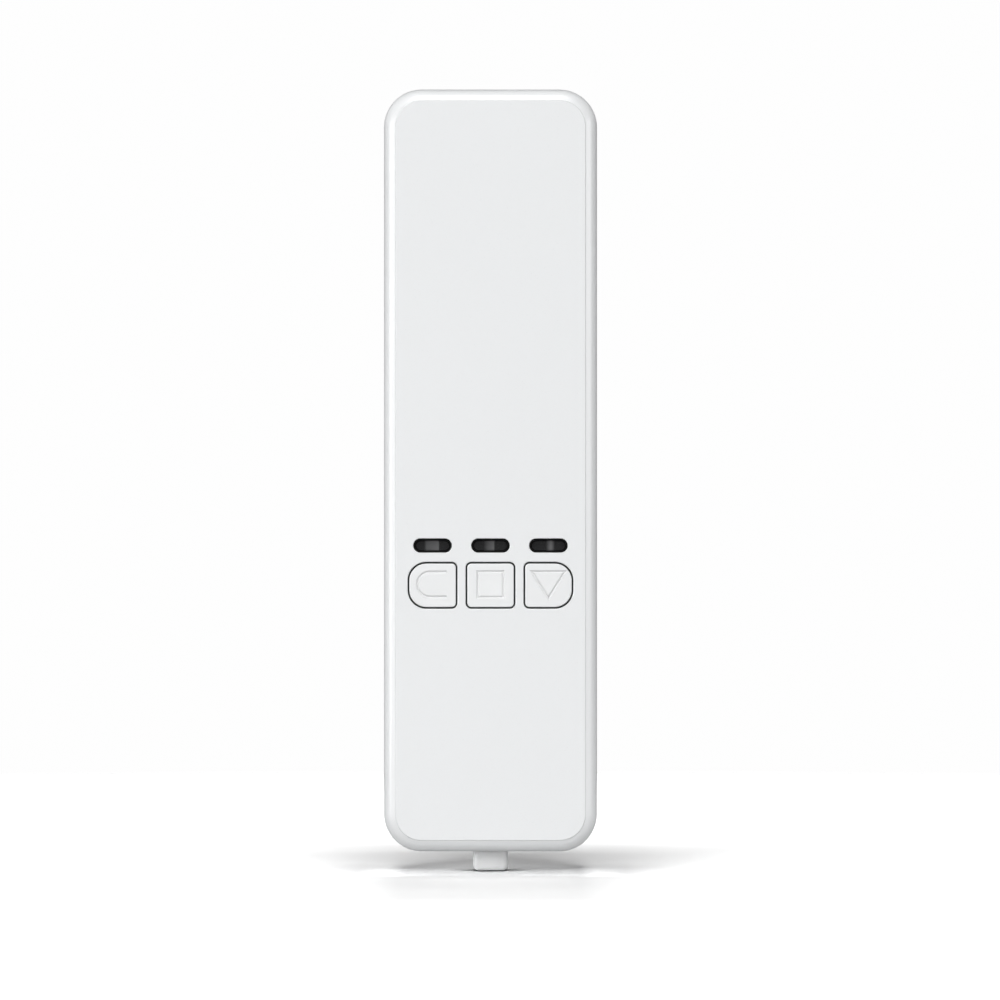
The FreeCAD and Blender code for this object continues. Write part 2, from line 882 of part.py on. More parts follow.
def rear_shell():
    shell = body("rear_shell")
    seam, rear = depth("seamDepth"), depth("caseRear")
    block = grown(shell, "XZ", (seam, rear), casing_outline("0"))
    softened(shell, block, "rearEdge", on_level("y", rear))
    lip = all_of([casing_outline("caseWall - lipWall"), casing_outline("caseWall")])
    grown(shell, "XZ", (depth("seamDepth - lipReach"), seam), lip)

    def lower_cavity(sketch):
        rounds = ["innerRound", "innerRound", "lipWall", "lipWall"]
        rounded(sketch, wide("innerHalf"), (height("caseWall"), height("pocketTop")), rounds)

    def upper_cavity(sketch):
        rounds = ["lipWall", "lipWall", "innerRound", "innerRound"]
        low = height("pocketTop - caseWall")
        rounded(sketch, wide("innerHalf"), (low, height("innerTop")), rounds)

    inner = depth("cavityRear")
    taken(shell, "XZ", (seam, inner), lower_cavity)
    taken(shell, "XZ", (seam, depth("chamberFloor")), upper_cavity)

    def side_pockets(sketch):
        for mark in (-1, 1):
            ends = [mirrored("pocketIn", mark), mirrored("innerHalf", mark)]
            low = height("caseWall + innerRound")
            rounded(sketch, ends[::mark], (low, height("pocketTop")), "lipWall")

    taken(shell, "XZ", (depth("channelFront"), depth("caseRear - caseWall")), side_pockets)
    bump = (depth("bumpFront"), depth("bracketFront"))
    grown(shell, "XZ", bump, rectangle(wide("bumpHalf"), (height("caseWall / 2"), height("channelTop + caseWall / 2"))))
    block = rectangle(wide("tabHalfWide + tabPlay + channelSkin"), (height("caseWall / 2"), height("tabBlockTop")))
    grown(shell, "XZ", (depth("tabBlockFront"), depth("channelFront")), block)
    grown(shell, "XZ", (depth("seamDepth - lipReach"), depth("caseRear - caseWall / 2")), discs(lowScrews, "lowColumn"))
    grown(shell, "XZ", (depth("seamDepth - lipReach"), depth("chamberFloor + lipGap")), discs(highScrews, "highColumn"))
    groove = dovetail(
        "bracketFrontHalf + fitGap + lipGap", "bracketBackHalf + fitGap", depth("grooveFront"), depth("caseRear + wallGap")
    )
    taken(shell, "XY", (height("-fitGap"), height("grooveTop")), groove)
    channel = rectangle(wide("channelHalf"), (height("-fitGap"), height("channelTop")))
    taken(shell, "XZ", (depth("channelFront"), depth("bracketFront")), channel)
    tracks = rectangle(wide("wingHalf + fitGap"), (height("caseWall + lipGap"), height("wingHigh + releaseTravel + lipWall")))
    taken(shell, "XZ", (depth("channelFront"), depth("channelFront + wingThick + fitGap")), tracks)
    slot = rectangle(wide("tabHalfWide + tabPlay"), (height("-fitGap"), height("tabTop + releaseTravel + tabPlay")))
    taken(shell, "XZ", (depth("tabFrontFace - tabPlay"), depth("bracketFront")), slot)
    pocket = rectangle(wide("springPocket"), (height("sliderLow"), height("stopLow")))
    taken(shell, "XZ", (depth("springDepth - springPocket"), depth("channelFront + lipGap")), pocket)
    stop = rectangle(wide("stopHalf"), (height("stopLow"), height("stopLow + stopTall")))
    grown(shell, "XZ", (depth("channelFront - lipGap"), depth("leafFront + leafThick * 2")), stop)
    seat = rectangle(wide("leafHalf + lipWall"), (height("leafBend"), height("channelTop + lipGap")))
    grown(shell, "XZ", (depth("channelFront - lipGap"), depth("leafFront")), seat)
    chamber = chamber_outline("chamberRadius", height("innerTop"))
    taken(shell, "XZ", (depth("chamberFront"), depth("caseRear + wallGap")), chamber)

    def chain_slots(sketch):
        for mark in (-1, 1):
            ends = [mirrored("slotIn", mark), mirrored("slotOut", mark)]
            rounded(sketch, ends[::mark], (depth("slotFront"), depth("caseRear + slotPast")), "lipWall")

    taken(shell, "XY", (height("innerTop - lipGap"), height("caseHeight + fitGap")), chain_slots)
    recess = rectangle(wide("knuckleHalf + fitGap"), (height("hingeUp - recessReach"), height("outputUp - chamberRadius + 2 * lipWall")))
    taken(shell, "XZ", (depth("hingeDepth - recessReach"), depth("caseRear + wallGap")), recess)
    pin = discs([(depth("hingeDepth"), height("hingeUp"))], "hingePin + pressGap")
    taken(shell, "YZ", ("-hingePinHalf - lipGap", "caseHalf + fitGap"), pin)
    shaftHole = discs([("0", outputAxis)], "outputBush + lipGap")
    taken(shell, "XZ", (depth("chamberFloor - lipGap"), depth("chamberFront + lipGap")), shaftHole)
    shanks = discs(lowScrews + highScrews, "screwRadius + pilotGap * 3")
    taken(shell, "XZ", (depth("seamDepth - 2 * lipReach"), depth("chamberFront + lipGap")), shanks)
    lowHeads = discs(lowScrews, "screwHead + fitGap / 2")
    taken(shell, "XZ", (depth("lowHeadDepth"), depth("caseRear + wallGap")), lowHeads)
    highHeads = discs(highScrews, "screwHead + fitGap / 2")
    taken(shell, "XZ", (depth("chamberFront - screwHeadTall"), depth("chamberFront + lipGap")), highHeads)
    leafScrew = discs([("0", height("leafScrewUp"))], "smallScrew + pilotGap")
    taken(shell, "XZ", (depth("bumpFront + leafPilotSkin"), depth("bracketFront")), leafScrew)


def chain_cover():
    cover = body("chain_cover")
    rear = depth("caseRear")
    outline = chamber_outline("coverRadius", height("innerTop - coverGap"))
    plate = grown(cover, "XZ", (depth("coverFront"), rear), outline)
    softened(cover, plate, "faceEdge", on_level("y", rear))
    arm = rectangle(wide("knuckleHalf"), (height("hingeUp"), height("outputUp - coverRadius + 2 * lipWall")))
    grown(cover, "XZ", (depth("coverFront"), depth("hingeDepth + knuckleRadius")), arm)
    knuckle = discs([(depth("hingeDepth"), height("hingeUp"))], "knuckleRadius")
    grown(cover, "YZ", wide("knuckleHalf"), knuckle)
    bore = discs([(depth("hingeDepth"), height("hingeUp"))], "hingePin + runGap")
    taken(cover, "YZ", wide("knuckleHalf + lipGap"), bore)

    def thumb(sketch):
        high = "innerTop - coverGap - lipWall"
        ends = (height(high + " - thumbTall"), height(high))
        rounded(sketch, wide("thumbHalf"), ends, "lipWall")

    taken(cover, "XZ", (depth("caseRear - thumbDepth"), depth("caseRear + lipGap")), thumb)
    pin = rod("hingePin", wide("hingePinHalf"), depth("hingeDepth"), height("hingeUp"), "x")
    sub_part("cover_hinge_pin", pin)


# Buttons, indicator windows and what lies behind them


def glyph_square(sketch):
    for inset in ("-glyphWidth / 2", "glyphWidth / 2"):
        half = "glyphSize / 2 - (%s)" % inset
        spans = wide(half), (height("buttonUp - (%s)" % half), height("buttonUp + (%s)" % half))
        rectangle(*spans)(sketch)


def glyph_triangle(sketch):
    spot = buttonSpots[2]
    for inset in ("-glyphWidth / 2", "glyphWidth / 2"):
        across = "triangleHalf - (%s) * (triangleHalf + triangleSide) / glyphSize" % inset
        top = height("buttonUp + glyphSize / 2 - (%s)" % inset)
        tip = height("buttonUp - glyphSize / 2 + (%s) * triangleSide / triangleHalf" % inset)
        points = [(spot, tip), ("%s + %s" % (spot, across), top), ("%s - (%s)" % (spot, across), top)]
        polygon(sketch, points)


def glyph_open(sketch):
    """A U on its side, open to the right."""
    spot = buttonSpots[0]
    right = "%s + openReach" % spot
    centre = "%s - openSet" % spot
    middle = height("buttonUp")
    outer, inner = "glyphSize / 2 + glyphWidth / 2", "glyphSize / 2 - glyphWidth / 2"
    levels = {
        "top": "%s + %s" % (middle, outer),
        "upper": "%s + %s" % (middle, inner),
        "lower": "%s - (%s)" % (middle, inner),
        "bottom": "%s - (%s)" % (middle, outer),
    }
    quarter = math.pi / 2
    arcs = []
    for radius in (outer, inner):
        circle = Part.Circle(at(centre, middle), Vector(0, 0, 1), number(radius))
        arcs.append(sketch.addGeometry(Part.ArcOfCircle(circle, quarter, 3 * quarter), False))
        sized(sketch, arcs[-1], radius)
        pinned(sketch, arcs[-1], 3, centre, middle)
    runs = {}
    for name, level in levels.items():
        runs[name] = sketch.addGeometry(
            Part.LineSegment(at(centre, level), at(right, level)), False
        )
        sketch.addConstraint(Sketcher.Constraint("Horizontal", runs[name]))
        index = sketch.addConstraint(
            Sketcher.Constraint("DistanceX", -1, 1, runs[name], 2, number(right))
        )
        bind(sketch, "Constraints[%d]" % index, right)
    for name, arc, end in (
        ("top", arcs[0], 1),
        ("upper", arcs[1], 1),
        ("lower", arcs[1], 2),
        ("bottom", arcs[0], 2),
    ):
        sketch.addConstraint(Sketcher.Constraint("Tangent", runs[name], 1, arc, end))
    for high, low in (("top", "upper"), ("lower", "bottom")):
        cap = sketch.addGeometry(
            Part.LineSegment(at(right, levels[high]), at(right, levels[low])), False
        )
        sketch.addConstraint(Sketcher.Constraint("Coincident", cap, 1, runs[high], 2))
        sketch.addConstraint(Sketcher.Constraint("Coincident", cap, 2, runs[low], 2))


def buttons():
    glyphs = [glyph_open, glyph_square, glyph_triangle]
    for index, name in enumerate(buttonNames):
        cap = body("button_%s" % name)
        face = depth("0")
        top = grown(cap, "XZ", (face, depth("flangeFront")), button_outline(index, "0"))
        softened(cap, top, "buttonEdge", on_level("y", face))
        flange = button_outline(index, "flangeOver")
        grown(cap, "XZ", (depth("flangeFront"), depth("flangeRear")), flange)
        spot = [(buttonSpots[index], height("buttonUp"))]
        grown(cap, "XZ", (depth("flangeRear"), depth("stemEnd")), discs(spot, "stemRadius"))
        taken(cap, "XZ", (depth("-fitGap"), depth("glyphDepth")), glyphs[index])
        reach = (depth("stemEnd"), depth("stemEnd + plungerLong"))
        plunger = rod("plungerRadius", buttonSpots[index], reach, height("buttonUp"), "y")
        sub_part("switch_plunger_%s" % name, plunger)

    switches = []
    for spot in buttonSpots:
        half = "switchWide / 2"
        can = box(
            ("%s - %s" % (spot, half), "%s + %s" % (spot, half)),
            (depth("switchFront"), depth("boardFront")),
            (height("buttonUp - %s" % half), height("buttonUp + %s" % half)),
        )
        reach = (depth("switchFront - lipGap"), depth("switchFront + switchWell"))
        well = rod("plungerRadius + lipGap * 2", spot, reach, height("buttonUp"), "y")
        switches.append(carved(can, [well]))
    sub_part("tact_switches", joined(switches))

    plateEnds = (height("buttonUp - guideTall / 2"), height("buttonUp + guideTall / 2"))
    plateRear = depth("guideFront + guideThick")
    guide = body("button_guide")
    grown(guide, "XZ", (depth("guideFront"), plateRear), rectangle(wide("guideHalf"), plateEnds))
    legs = [
        rectangle(wide("guideHalf"), (height("buttonUp - guideTall / 2"), height("buttonUp - guideTall / 2 + guideLeg"))),
        rectangle(wide("guideHalf"), (height("buttonUp + guideTall / 2 - guideLeg"), height("buttonUp + guideTall / 2"))),
    ]
    grown(guide, "XZ", (plateRear, depth("boardFront")), all_of(legs))
    holes = discs([(spot, height("buttonUp")) for spot in buttonSpots], "guideHole")
    taken(guide, "XZ", (depth("guideFront - lipGap"), depth("boardFront")), holes)


def windows():
    for index, name in enumerate(windowNames):
        lens = body("window_%s" % name)
        front, flange = depth("windowRecess"), depth("flangeFront")
        grown(lens, "XZ", (front, flange), window_outline(index, "0"))
        grown(lens, "XZ", (flange, depth("flangeFront + windowLipThick")), window_outline(index, "windowLip"))
    shroud = body("light_shroud")
    front = depth("flangeFront + windowLipThick + seatGap")
    ends = (height("windowUp - shroudTall / 2"), height("windowUp + shroudTall / 2"))
    grown(shroud, "XZ", (front, depth("boardFront")), rectangle(wide("shroudHalf"), ends))

    def wells(sketch):
        for spot in buttonSpots:
            reach = "wellWide / 2 - wellTall / 2"
            centres = "%s - (%s)" % (spot, reach), "%s + %s" % (spot, reach)
            stadium(sketch, centres, height("windowUp"), "wellTall / 2")

    taken(shroud, "XZ", (depth("flangeFront"), depth("boardRear")), wells)
    lights = []
    for spot in buttonSpots:
        lights.append(
            box(
                ("%s - ledWide / 2" % spot, "%s + ledWide / 2" % spot),
                (depth("boardFront - ledTall"), depth("boardFront")),
                (height("windowUp - ledDeep / 2"), height("windowUp + ledDeep / 2")),
            )
        )
    sub_part("indicator_leds", joined(lights))


# Boards and the charging socket


def screw(x, head, tip, z, radius, headRadius, headTall):
    """A screw along Y: its head's seat, where its thread ends, and the head behind the seat."""
    shank = rod(radius, x, (tip, head), z, "y")
    cap = rod(headRadius, x, (head, "(%s) + %s" % (head, headTall)), z, "y")
    return joined([shank, cap])


def boards():
    board = body("main_board")
    front, rear = depth("boardFront"), depth("boardRear")

    def outline(sketch):
        rounded(sketch, wide("boardHalf"), (height("boardBottom"), height("boardTop")), "boardRound")

    grown(board, "XZ", (front, rear), outline)
    tongue = rectangle(wide("tongueHalf"), (height("tongueBottom"), height("boardBottom + boardRound")))
    grown(board, "XZ", (front, rear), tongue)
    taken(board, "XZ", (depth("boardFront - lipGap"), depth("boardRear + lipGap")), discs(boardScrews, "smallScrew + pilotGap * 5"))
    screws = []
    for x, z in boardScrews:
        tip = depth("boardRear - smallScrewLong")
        screws.append(screw(x, rear, tip, z, "smallScrew", "smallHead", "smallHeadTall"))
    sub_part("board_screws", joined(screws))
    radio = box(
        wide("radioHalf"),
        (rear, depth("boardRear + radioTall")),
        (height("radioLow"), height("radioHigh")),
    )
    sub_part("radio_module", radio)

    chips = []
    # middle across, middle up, half width, half height
    layout = [
        (-11.95, "lowChipUp", 1.75, 3.0),
        (11.95, "lowChipUp", 1.75, 2.6),
        (0.0, "socketChipUp", 4.0, 1.7),
        (-12.0, "radioHigh - sideChipDrop", 2.0, 2.5),
        (11.5, "radioHigh - sideChipDrop", 1.6, 4.0),
        (-6.5, "boardTop - highChipDrop", 2.5, 1.5),
        (6.0, "boardTop - highChipDrop", 1.6, 2.6),
    ]
    for x, z, halfX, halfZ in layout:
        chips.append(
            box(
                ("%s - %s" % (x, halfX), "%s + %s" % (x, halfX)),
                (rear, depth("boardRear + chipTall")),
                (height("%s - %s" % (z, halfZ)), height("%s + %s" % (z, halfZ))),
            )
        )
    sub_part("board_components", joined(chips))

    socket = body("usb_c_socket")

    def round_slot(reach, tall):
        def draw(sketch):
            ends = wide("(%s) / 2 - (%s) / 2" % (reach, tall))
            stadium(sketch, ends, depth("portDepth"), "(%s) / 2" % tall)

        return draw

    low, high = height("plugStart"), height("plugStart + plugLong")
    grown(socket, "XY", (low, high), round_slot("plugWide", "plugTall"))
    hollow = round_slot("plugWide - 2 * plugShell", "plugTall - 2 * plugShell")
    taken(socket, "XY", (height("plugStart - lipGap"), height("plugStart + plugLong - lipWall")), hollow)
    blade = rectangle(wide("contactHalf"), (depth("portDepth - tongueThick / 2"), depth("portDepth + tongueThick / 2")))
    grown(socket, "XY", (height("plugStart + lipWall / 2"), height("plugStart + plugLong - lipWall / 2")), blade)


# Battery


def battery():
    for mark, name in ((-1, "left"), (1, "right")):
        span = (height("cellBottom"), height("cellTop"))
        cell = rod("cellRadius", mirrored("cellOut", mark), depth("cellDepth"), span, "z")
        sub_part("battery_cell_%s" % name, cell)

    block = box(wide("trayHalf"), (depth("trayFront"), depth("trayRear")), (height("trayLow"), height("trayHigh")))
    feet = [
        box(
            [mirrored(x, mark) for x in ("bumpHalf + fitGap", "bumpHalf + fitGap + trayFoot")][::mark],
            (depth("trayRear - lipGap"), depth("cavityRear - seatGap")),
            (height("boardScrewLow"), height("boardScrewHigh")),
        )
        for mark in (-1, 1)
    ]
    room = (height("trayLow + trayEnd"), height("trayHigh - trayEnd"))
    troughs = [rod("cellRadius + lipGap", mirrored("cellOut", mark), depth("cellDepth"), room, "z") for mark in (-1, 1)]
    notches = [
        box(
            [mirrored(x, mark) for x in ("trayNotch", "trayHalf + lipGap")][::mark],
            (depth("trayFront - lipGap"), depth("trayRear + lipGap")),
            (height("trayLow - lipGap"), height("trayLow + trayNotchTall")),
        )
        for mark in (-1, 1)
    ]
    bridge = box(
        wide("cellOut + stripHalf + lipGap"),
        (depth("trayFront - lipGap"), depth("stripRear + lipGap")),
        (height("cellTop - lipGap"), height("cellTop + stripThick + stripGap")),
    )
    sub_part("battery_tray", carved(joined([block] + feet), troughs + notches + [bridge]))

    tabs = []
    deep = (depth("stripFront"), depth("stripRear"))
    for mark in (-1, 1):
        spot = mirrored("cellOut", mark)
        ends = ("%s - stripHalf" % spot, "%s + stripHalf" % spot)
        tabs.append(box(ends, deep, (height("cellBottom - stripThick"), height("cellBottom"))))
    tabs.append(box(wide("cellOut + stripHalf"), deep, (height("cellTop"), height("cellTop + stripThick"))))
    sub_part("battery_tabs", joined(tabs))

    foam = box(
        wide("foamHalf"),
        (depth("foamFront"), depth("cellDepth - cellRadius - seatGap")),
        (height("foamLow"), height("foamLow + foamTall")),
    )
    sub_part("battery_foam", foam)

    touching = "cellBottom - stripThick - wireRadius + seatGap"
    lying = "boardRear + wireRadius + seatGap"
    for mark, name in ((-1, "red"), (1, "black")):
        x = mirrored("cellOut", mark)
        route = [
            (x, depth("stripFront - seatGap"), height(touching)),
            (x, depth(lying), height(touching)),
            (x, depth(lying), height("batteryWireTop")),
        ]
        shaped("battery_lead_%s" % name, wire(route, "wireRadius", "wireBend"))


def wire(route, radius, bend):
    """A round wire along straight runs joined by arcs of one bend radius."""
    points = [Vector(number(x), number(y), number(z)) for x, y, z in route]
    bend = number(bend)
    edges, start = [], points[0]
    for before, corner, after in zip(points, points[1:], points[2:]):
        into, out = (before - corner).normalize(), (after - corner).normalize()
        half = into.getAngle(out) / 2
        reach = bend / math.tan(half)
        first, last = corner + into * reach, corner + out * reach
        inward = (into + out).normalize()
        middle = corner + inward * (bend / math.sin(half) - bend)
        edges.append(Part.LineSegment(start, first).toShape())
        edges.append(Part.Arc(first, middle, last).toShape())
        start = last
    edges.append(Part.LineSegment(start, points[-1]).toShape())
    ring = Part.Wire(Part.Circle(points[0], points[1] - points[0], number(radius)).toShape())
    return Part.Wire(edges).makePipeShell([ring], True, False)


# Motor


def motor():
    x, y = "motorX", depth("motorDepth")
    bottom, top = height("motorBottom"), height("gearboxBottom")
    can = joined(
        [
            rod("motorRadius", x, y, (height("motorBottom + endCapTall"), top), "z"),
            rod("motorBoss", x, y, (height("gearboxBottom - lipWall"), height("gearboxBottom + motorBossTall")), "z"),
        ]
    )
    holes = [rod("shaftRadius + fitGap", x, y, (height("gearboxBottom - shaftInMotor - fitGap"), height("gearboxTop")), "z")]
    screws = []
    for mark in (-1, 1):
        spot = "motorX %s motorScrewOut" % ("-" if mark < 0 else "+")
        seat = height("gearboxBottom + gearboxFloor")
        tip = height("gearboxBottom - 2 * smallHeadTall")
        holes.append(rod("smallScrew + pilotGap", spot, y, (height("gearboxBottom - 3 * smallHeadTall"), height("gearboxTop")), "z"))
        shank = rod("smallScrew", spot, y, (tip, seat), "z")
        head = rod("smallHead", spot, y, (seat, height("gearboxBottom + gearboxFloor + smallHeadTall")), "z")
        screws.append(joined([shank, head]))
    sub_part("motor_can", carved(can, holes))
    sub_part("motor_screws", joined(screws))
    cap = rod("motorRadius - endCapInset", x, y, (bottom, height("motorBottom + endCapTall")), "z")
    sub_part("motor_end_cap", cap)

    under = (height("motorBottom - damperThick"), bottom)
    ring = rod("damperOut", x, y, under, "z")
    hole = rod("damperIn", x, y, (height("motorBottom - 2 * damperThick"), height("motorBottom + lipGap")), "z")
    gap = box(
        ("motorX - motorRadius", "motorX + motorRadius"),
        (depth("motorDepth - motorRadius"), depth("motorDepth - terminalWide")),
        (height("motorBottom - 2 * damperThick"), height("motorBottom + lipGap")),
    )
    sub_part("motor_damper", carved(ring, [hole, gap]))

    terminals = []
    for mark, name in ((-1, "red"), (1, "black")):
        spot = "motorX %s terminalOut" % ("-" if mark < 0 else "+")
        terminals.append(
            box(
                ("%s - terminalWide / 2" % spot, "%s + terminalWide / 2" % spot),
                (depth("motorDepth - terminalThick / 2"), depth("motorDepth + terminalThick / 2")),
                (height("motorBottom - terminalTall"), bottom),
            )
        )
        level = height("motorBottom - terminalTall / 2 - lipGap")
        lying = depth("boardRear + wireRadius + seatGap")
        route = [
            (spot, depth("motorDepth - terminalThick / 2 - seatGap"), level),
            (spot, lying, level),
            (spot, lying, height("motorWireLow")),
        ]
        shaped("motor_lead_%s" % name, wire(route, "wireRadius", "wireBend"))
    sub_part("motor_terminals", joined(terminals))

    shaft = rod("shaftRadius", x, y, (height("gearboxBottom - shaftInMotor"), height("shaftTop")), "z")
    sub_part("motor_shaft", shaft)


# Gears


def involute(angle):
    return math.tan(angle) - angle


def gear_outline(teeth, module, shift, thin):
    """One closed outline of a spur gear about the origin, with a tooth on the first axis."""
    pressure = math.radians(20)
    pitch = module * teeth / 2
    base = pitch * math.cos(pressure)
    tip = pitch + module * (1 + shift)
    root = pitch - module * (1.25 - shift)
    low = max(base, root)
    half = math.pi / (2 * teeth) + 2 * shift * math.tan(pressure) / teeth - thin / (2 * pitch)

    def flank(radius):
        return half + involute(pressure) - involute(math.acos(min(1, base / radius)))

    def spot(radius, angle):
        return Vector(radius * math.cos(angle), radius * math.sin(angle), 0)

    edges = []
    middle = (low + tip) / 2
    step = 2 * math.pi / teeth
    for tooth in range(teeth):
        turn = tooth * step
        rising = [spot(r, turn - flank(r)) for r in (low, middle, tip)]
        falling = [spot(r, turn + flank(r)) for r in (tip, middle, low)]
        foot, next_foot = spot(root, turn - flank(low)), spot(root, turn + flank(low))
        following = spot(root, turn + step - flank(low))
        if (foot - rising[0]).Length > 1e-6:
            edges.append(Part.LineSegment(foot, rising[0]).toShape())
        edges.append(Part.Arc(*rising).toShape())
        edges.append(Part.Arc(rising[-1], spot(tip, turn), falling[0]).toShape())
        edges.append(Part.Arc(*falling).toShape())
        if (next_foot - falling[-1]).Length > 1e-6:
            edges.append(Part.LineSegment(falling[-1], next_foot).toShape())
        edges.append(Part.Arc(next_foot, spot(root, turn + step / 2), following).toShape())
    return Part.Wire(Part.__sortEdges__(edges))


def stood(wire, turn, x, y, z):
    """Turn an outline about its own axis, then stand it square to Y at a place."""
    wire = wire.copy()
    wire.Placement = Placement(Vector(x, y, z), turned["y"]).multiply(
        Placement(Vector(), Rotation(Vector(0, 0, 1), turn))
    )
    return wire


def along_y(radius, x, low, high, z):
    return Part.makeCylinder(radius, high - low, Vector(x, low, z), Vector(0, 1, 0))


def gears():
    x, z = number("wheelX"), number(wheelAxis)
    front, rear = number(depth("wheelFront")), number(depth("wheelRear"))
    teeth = round(number("wormTeeth"))
    # the wheel's teeth lean to follow the worm's thread
    lead = number("wormModule / (2 * wormRadius)")
    lean = math.degrees(number("wheelWidth") / 2 * lead / number("wheelRadius"))
    outline = gear_outline(teeth, number("wormModule"), 0, number("wormThin"))
    toothTurn = 180 / teeth
    sections = [
        stood(outline, toothTurn + way * lean, x, level, z)
        for way, level in ((-1, front), (1, rear))
    ]
    wheel = Part.makeLoft(sections, True, True)
    pinionTeeth, outputTeeth = round(number("pinionTeeth")), round(number("outputTeeth"))
    module, shift, thin = number("toothModule"), number("toothShift"), number("toothThin")
    towards = -math.degrees(math.atan2(number("gearRise"), -number("wheelX")))
    outline = gear_outline(pinionTeeth, module, shift, thin)
    length = number("pinionRear - wheelRear")
    pinion = Part.Face(stood(outline, towards, x, rear, z)).extrude(Vector(0, length, 0))
    bore = along_y(number("pinRadius + runGap"), x, front - 1, rear + length + 1, z)
    shaped("worm_wheel", wheel.fuse(pinion).cut(bore))

    outline = gear_outline(outputTeeth, module, -shift, thin)
    front, width = number(depth("outputFront")), number("outputWidth")
    level = number(outputAxis)
    facing = towards + 180 + 180 / outputTeeth
    blank = Part.Face(stood(outline, facing, 0, front, level)).extrude(Vector(0, width, 0))
    bore = along_y(number("outputShaft + pressGap"), 0, front - 1, front + width + 1, level)
    shaped("output_gear", blank.cut(bore))

    pitch = math.pi * number("wormModule")
    turns = number("wormTurns")
    radius = number("wormRadius")
    root = radius - number("wormRootShare * wormModule")
    tip = radius + number("wormTipShare * wormModule")
    half = pitch / 4 - number("wormThin") / 2
    slope = math.tan(math.radians(20))
    buried = root - number("lipGap")
    outward = [(buried, -1), (tip, -1), (tip, 1), (buried, 1)]
    corners = [Vector(r, 0, way * (half + (radius - r) * slope)) for r, way in outward]
    section = Part.makePolygon(corners + corners[:1])
    path = Part.makeHelix(pitch, pitch * turns, radius)
    thread = Part.Wire(path).makePipeShell([section], True, True)
    axis = Vector(number("motorX"), number(depth("motorDepth")), number(wheelAxis))
    start = axis - Vector(0, 0, pitch * turns / 2)
    thread.Placement = Placement(start, Rotation(Vector(0, 0, 1), 180 * turns))
    low, long = number(height("wormLow")), number("wormLong")
    base = Vector(axis.x, axis.y, low)
    core = Part.makeCylinder(root, long, base)
    bore = Part.makeCylinder(number("shaftRadius + pressGap"), long + 2, base - Vector(0, 0, 1))
    shaped("worm", core.fuse(thread).cut(bore))


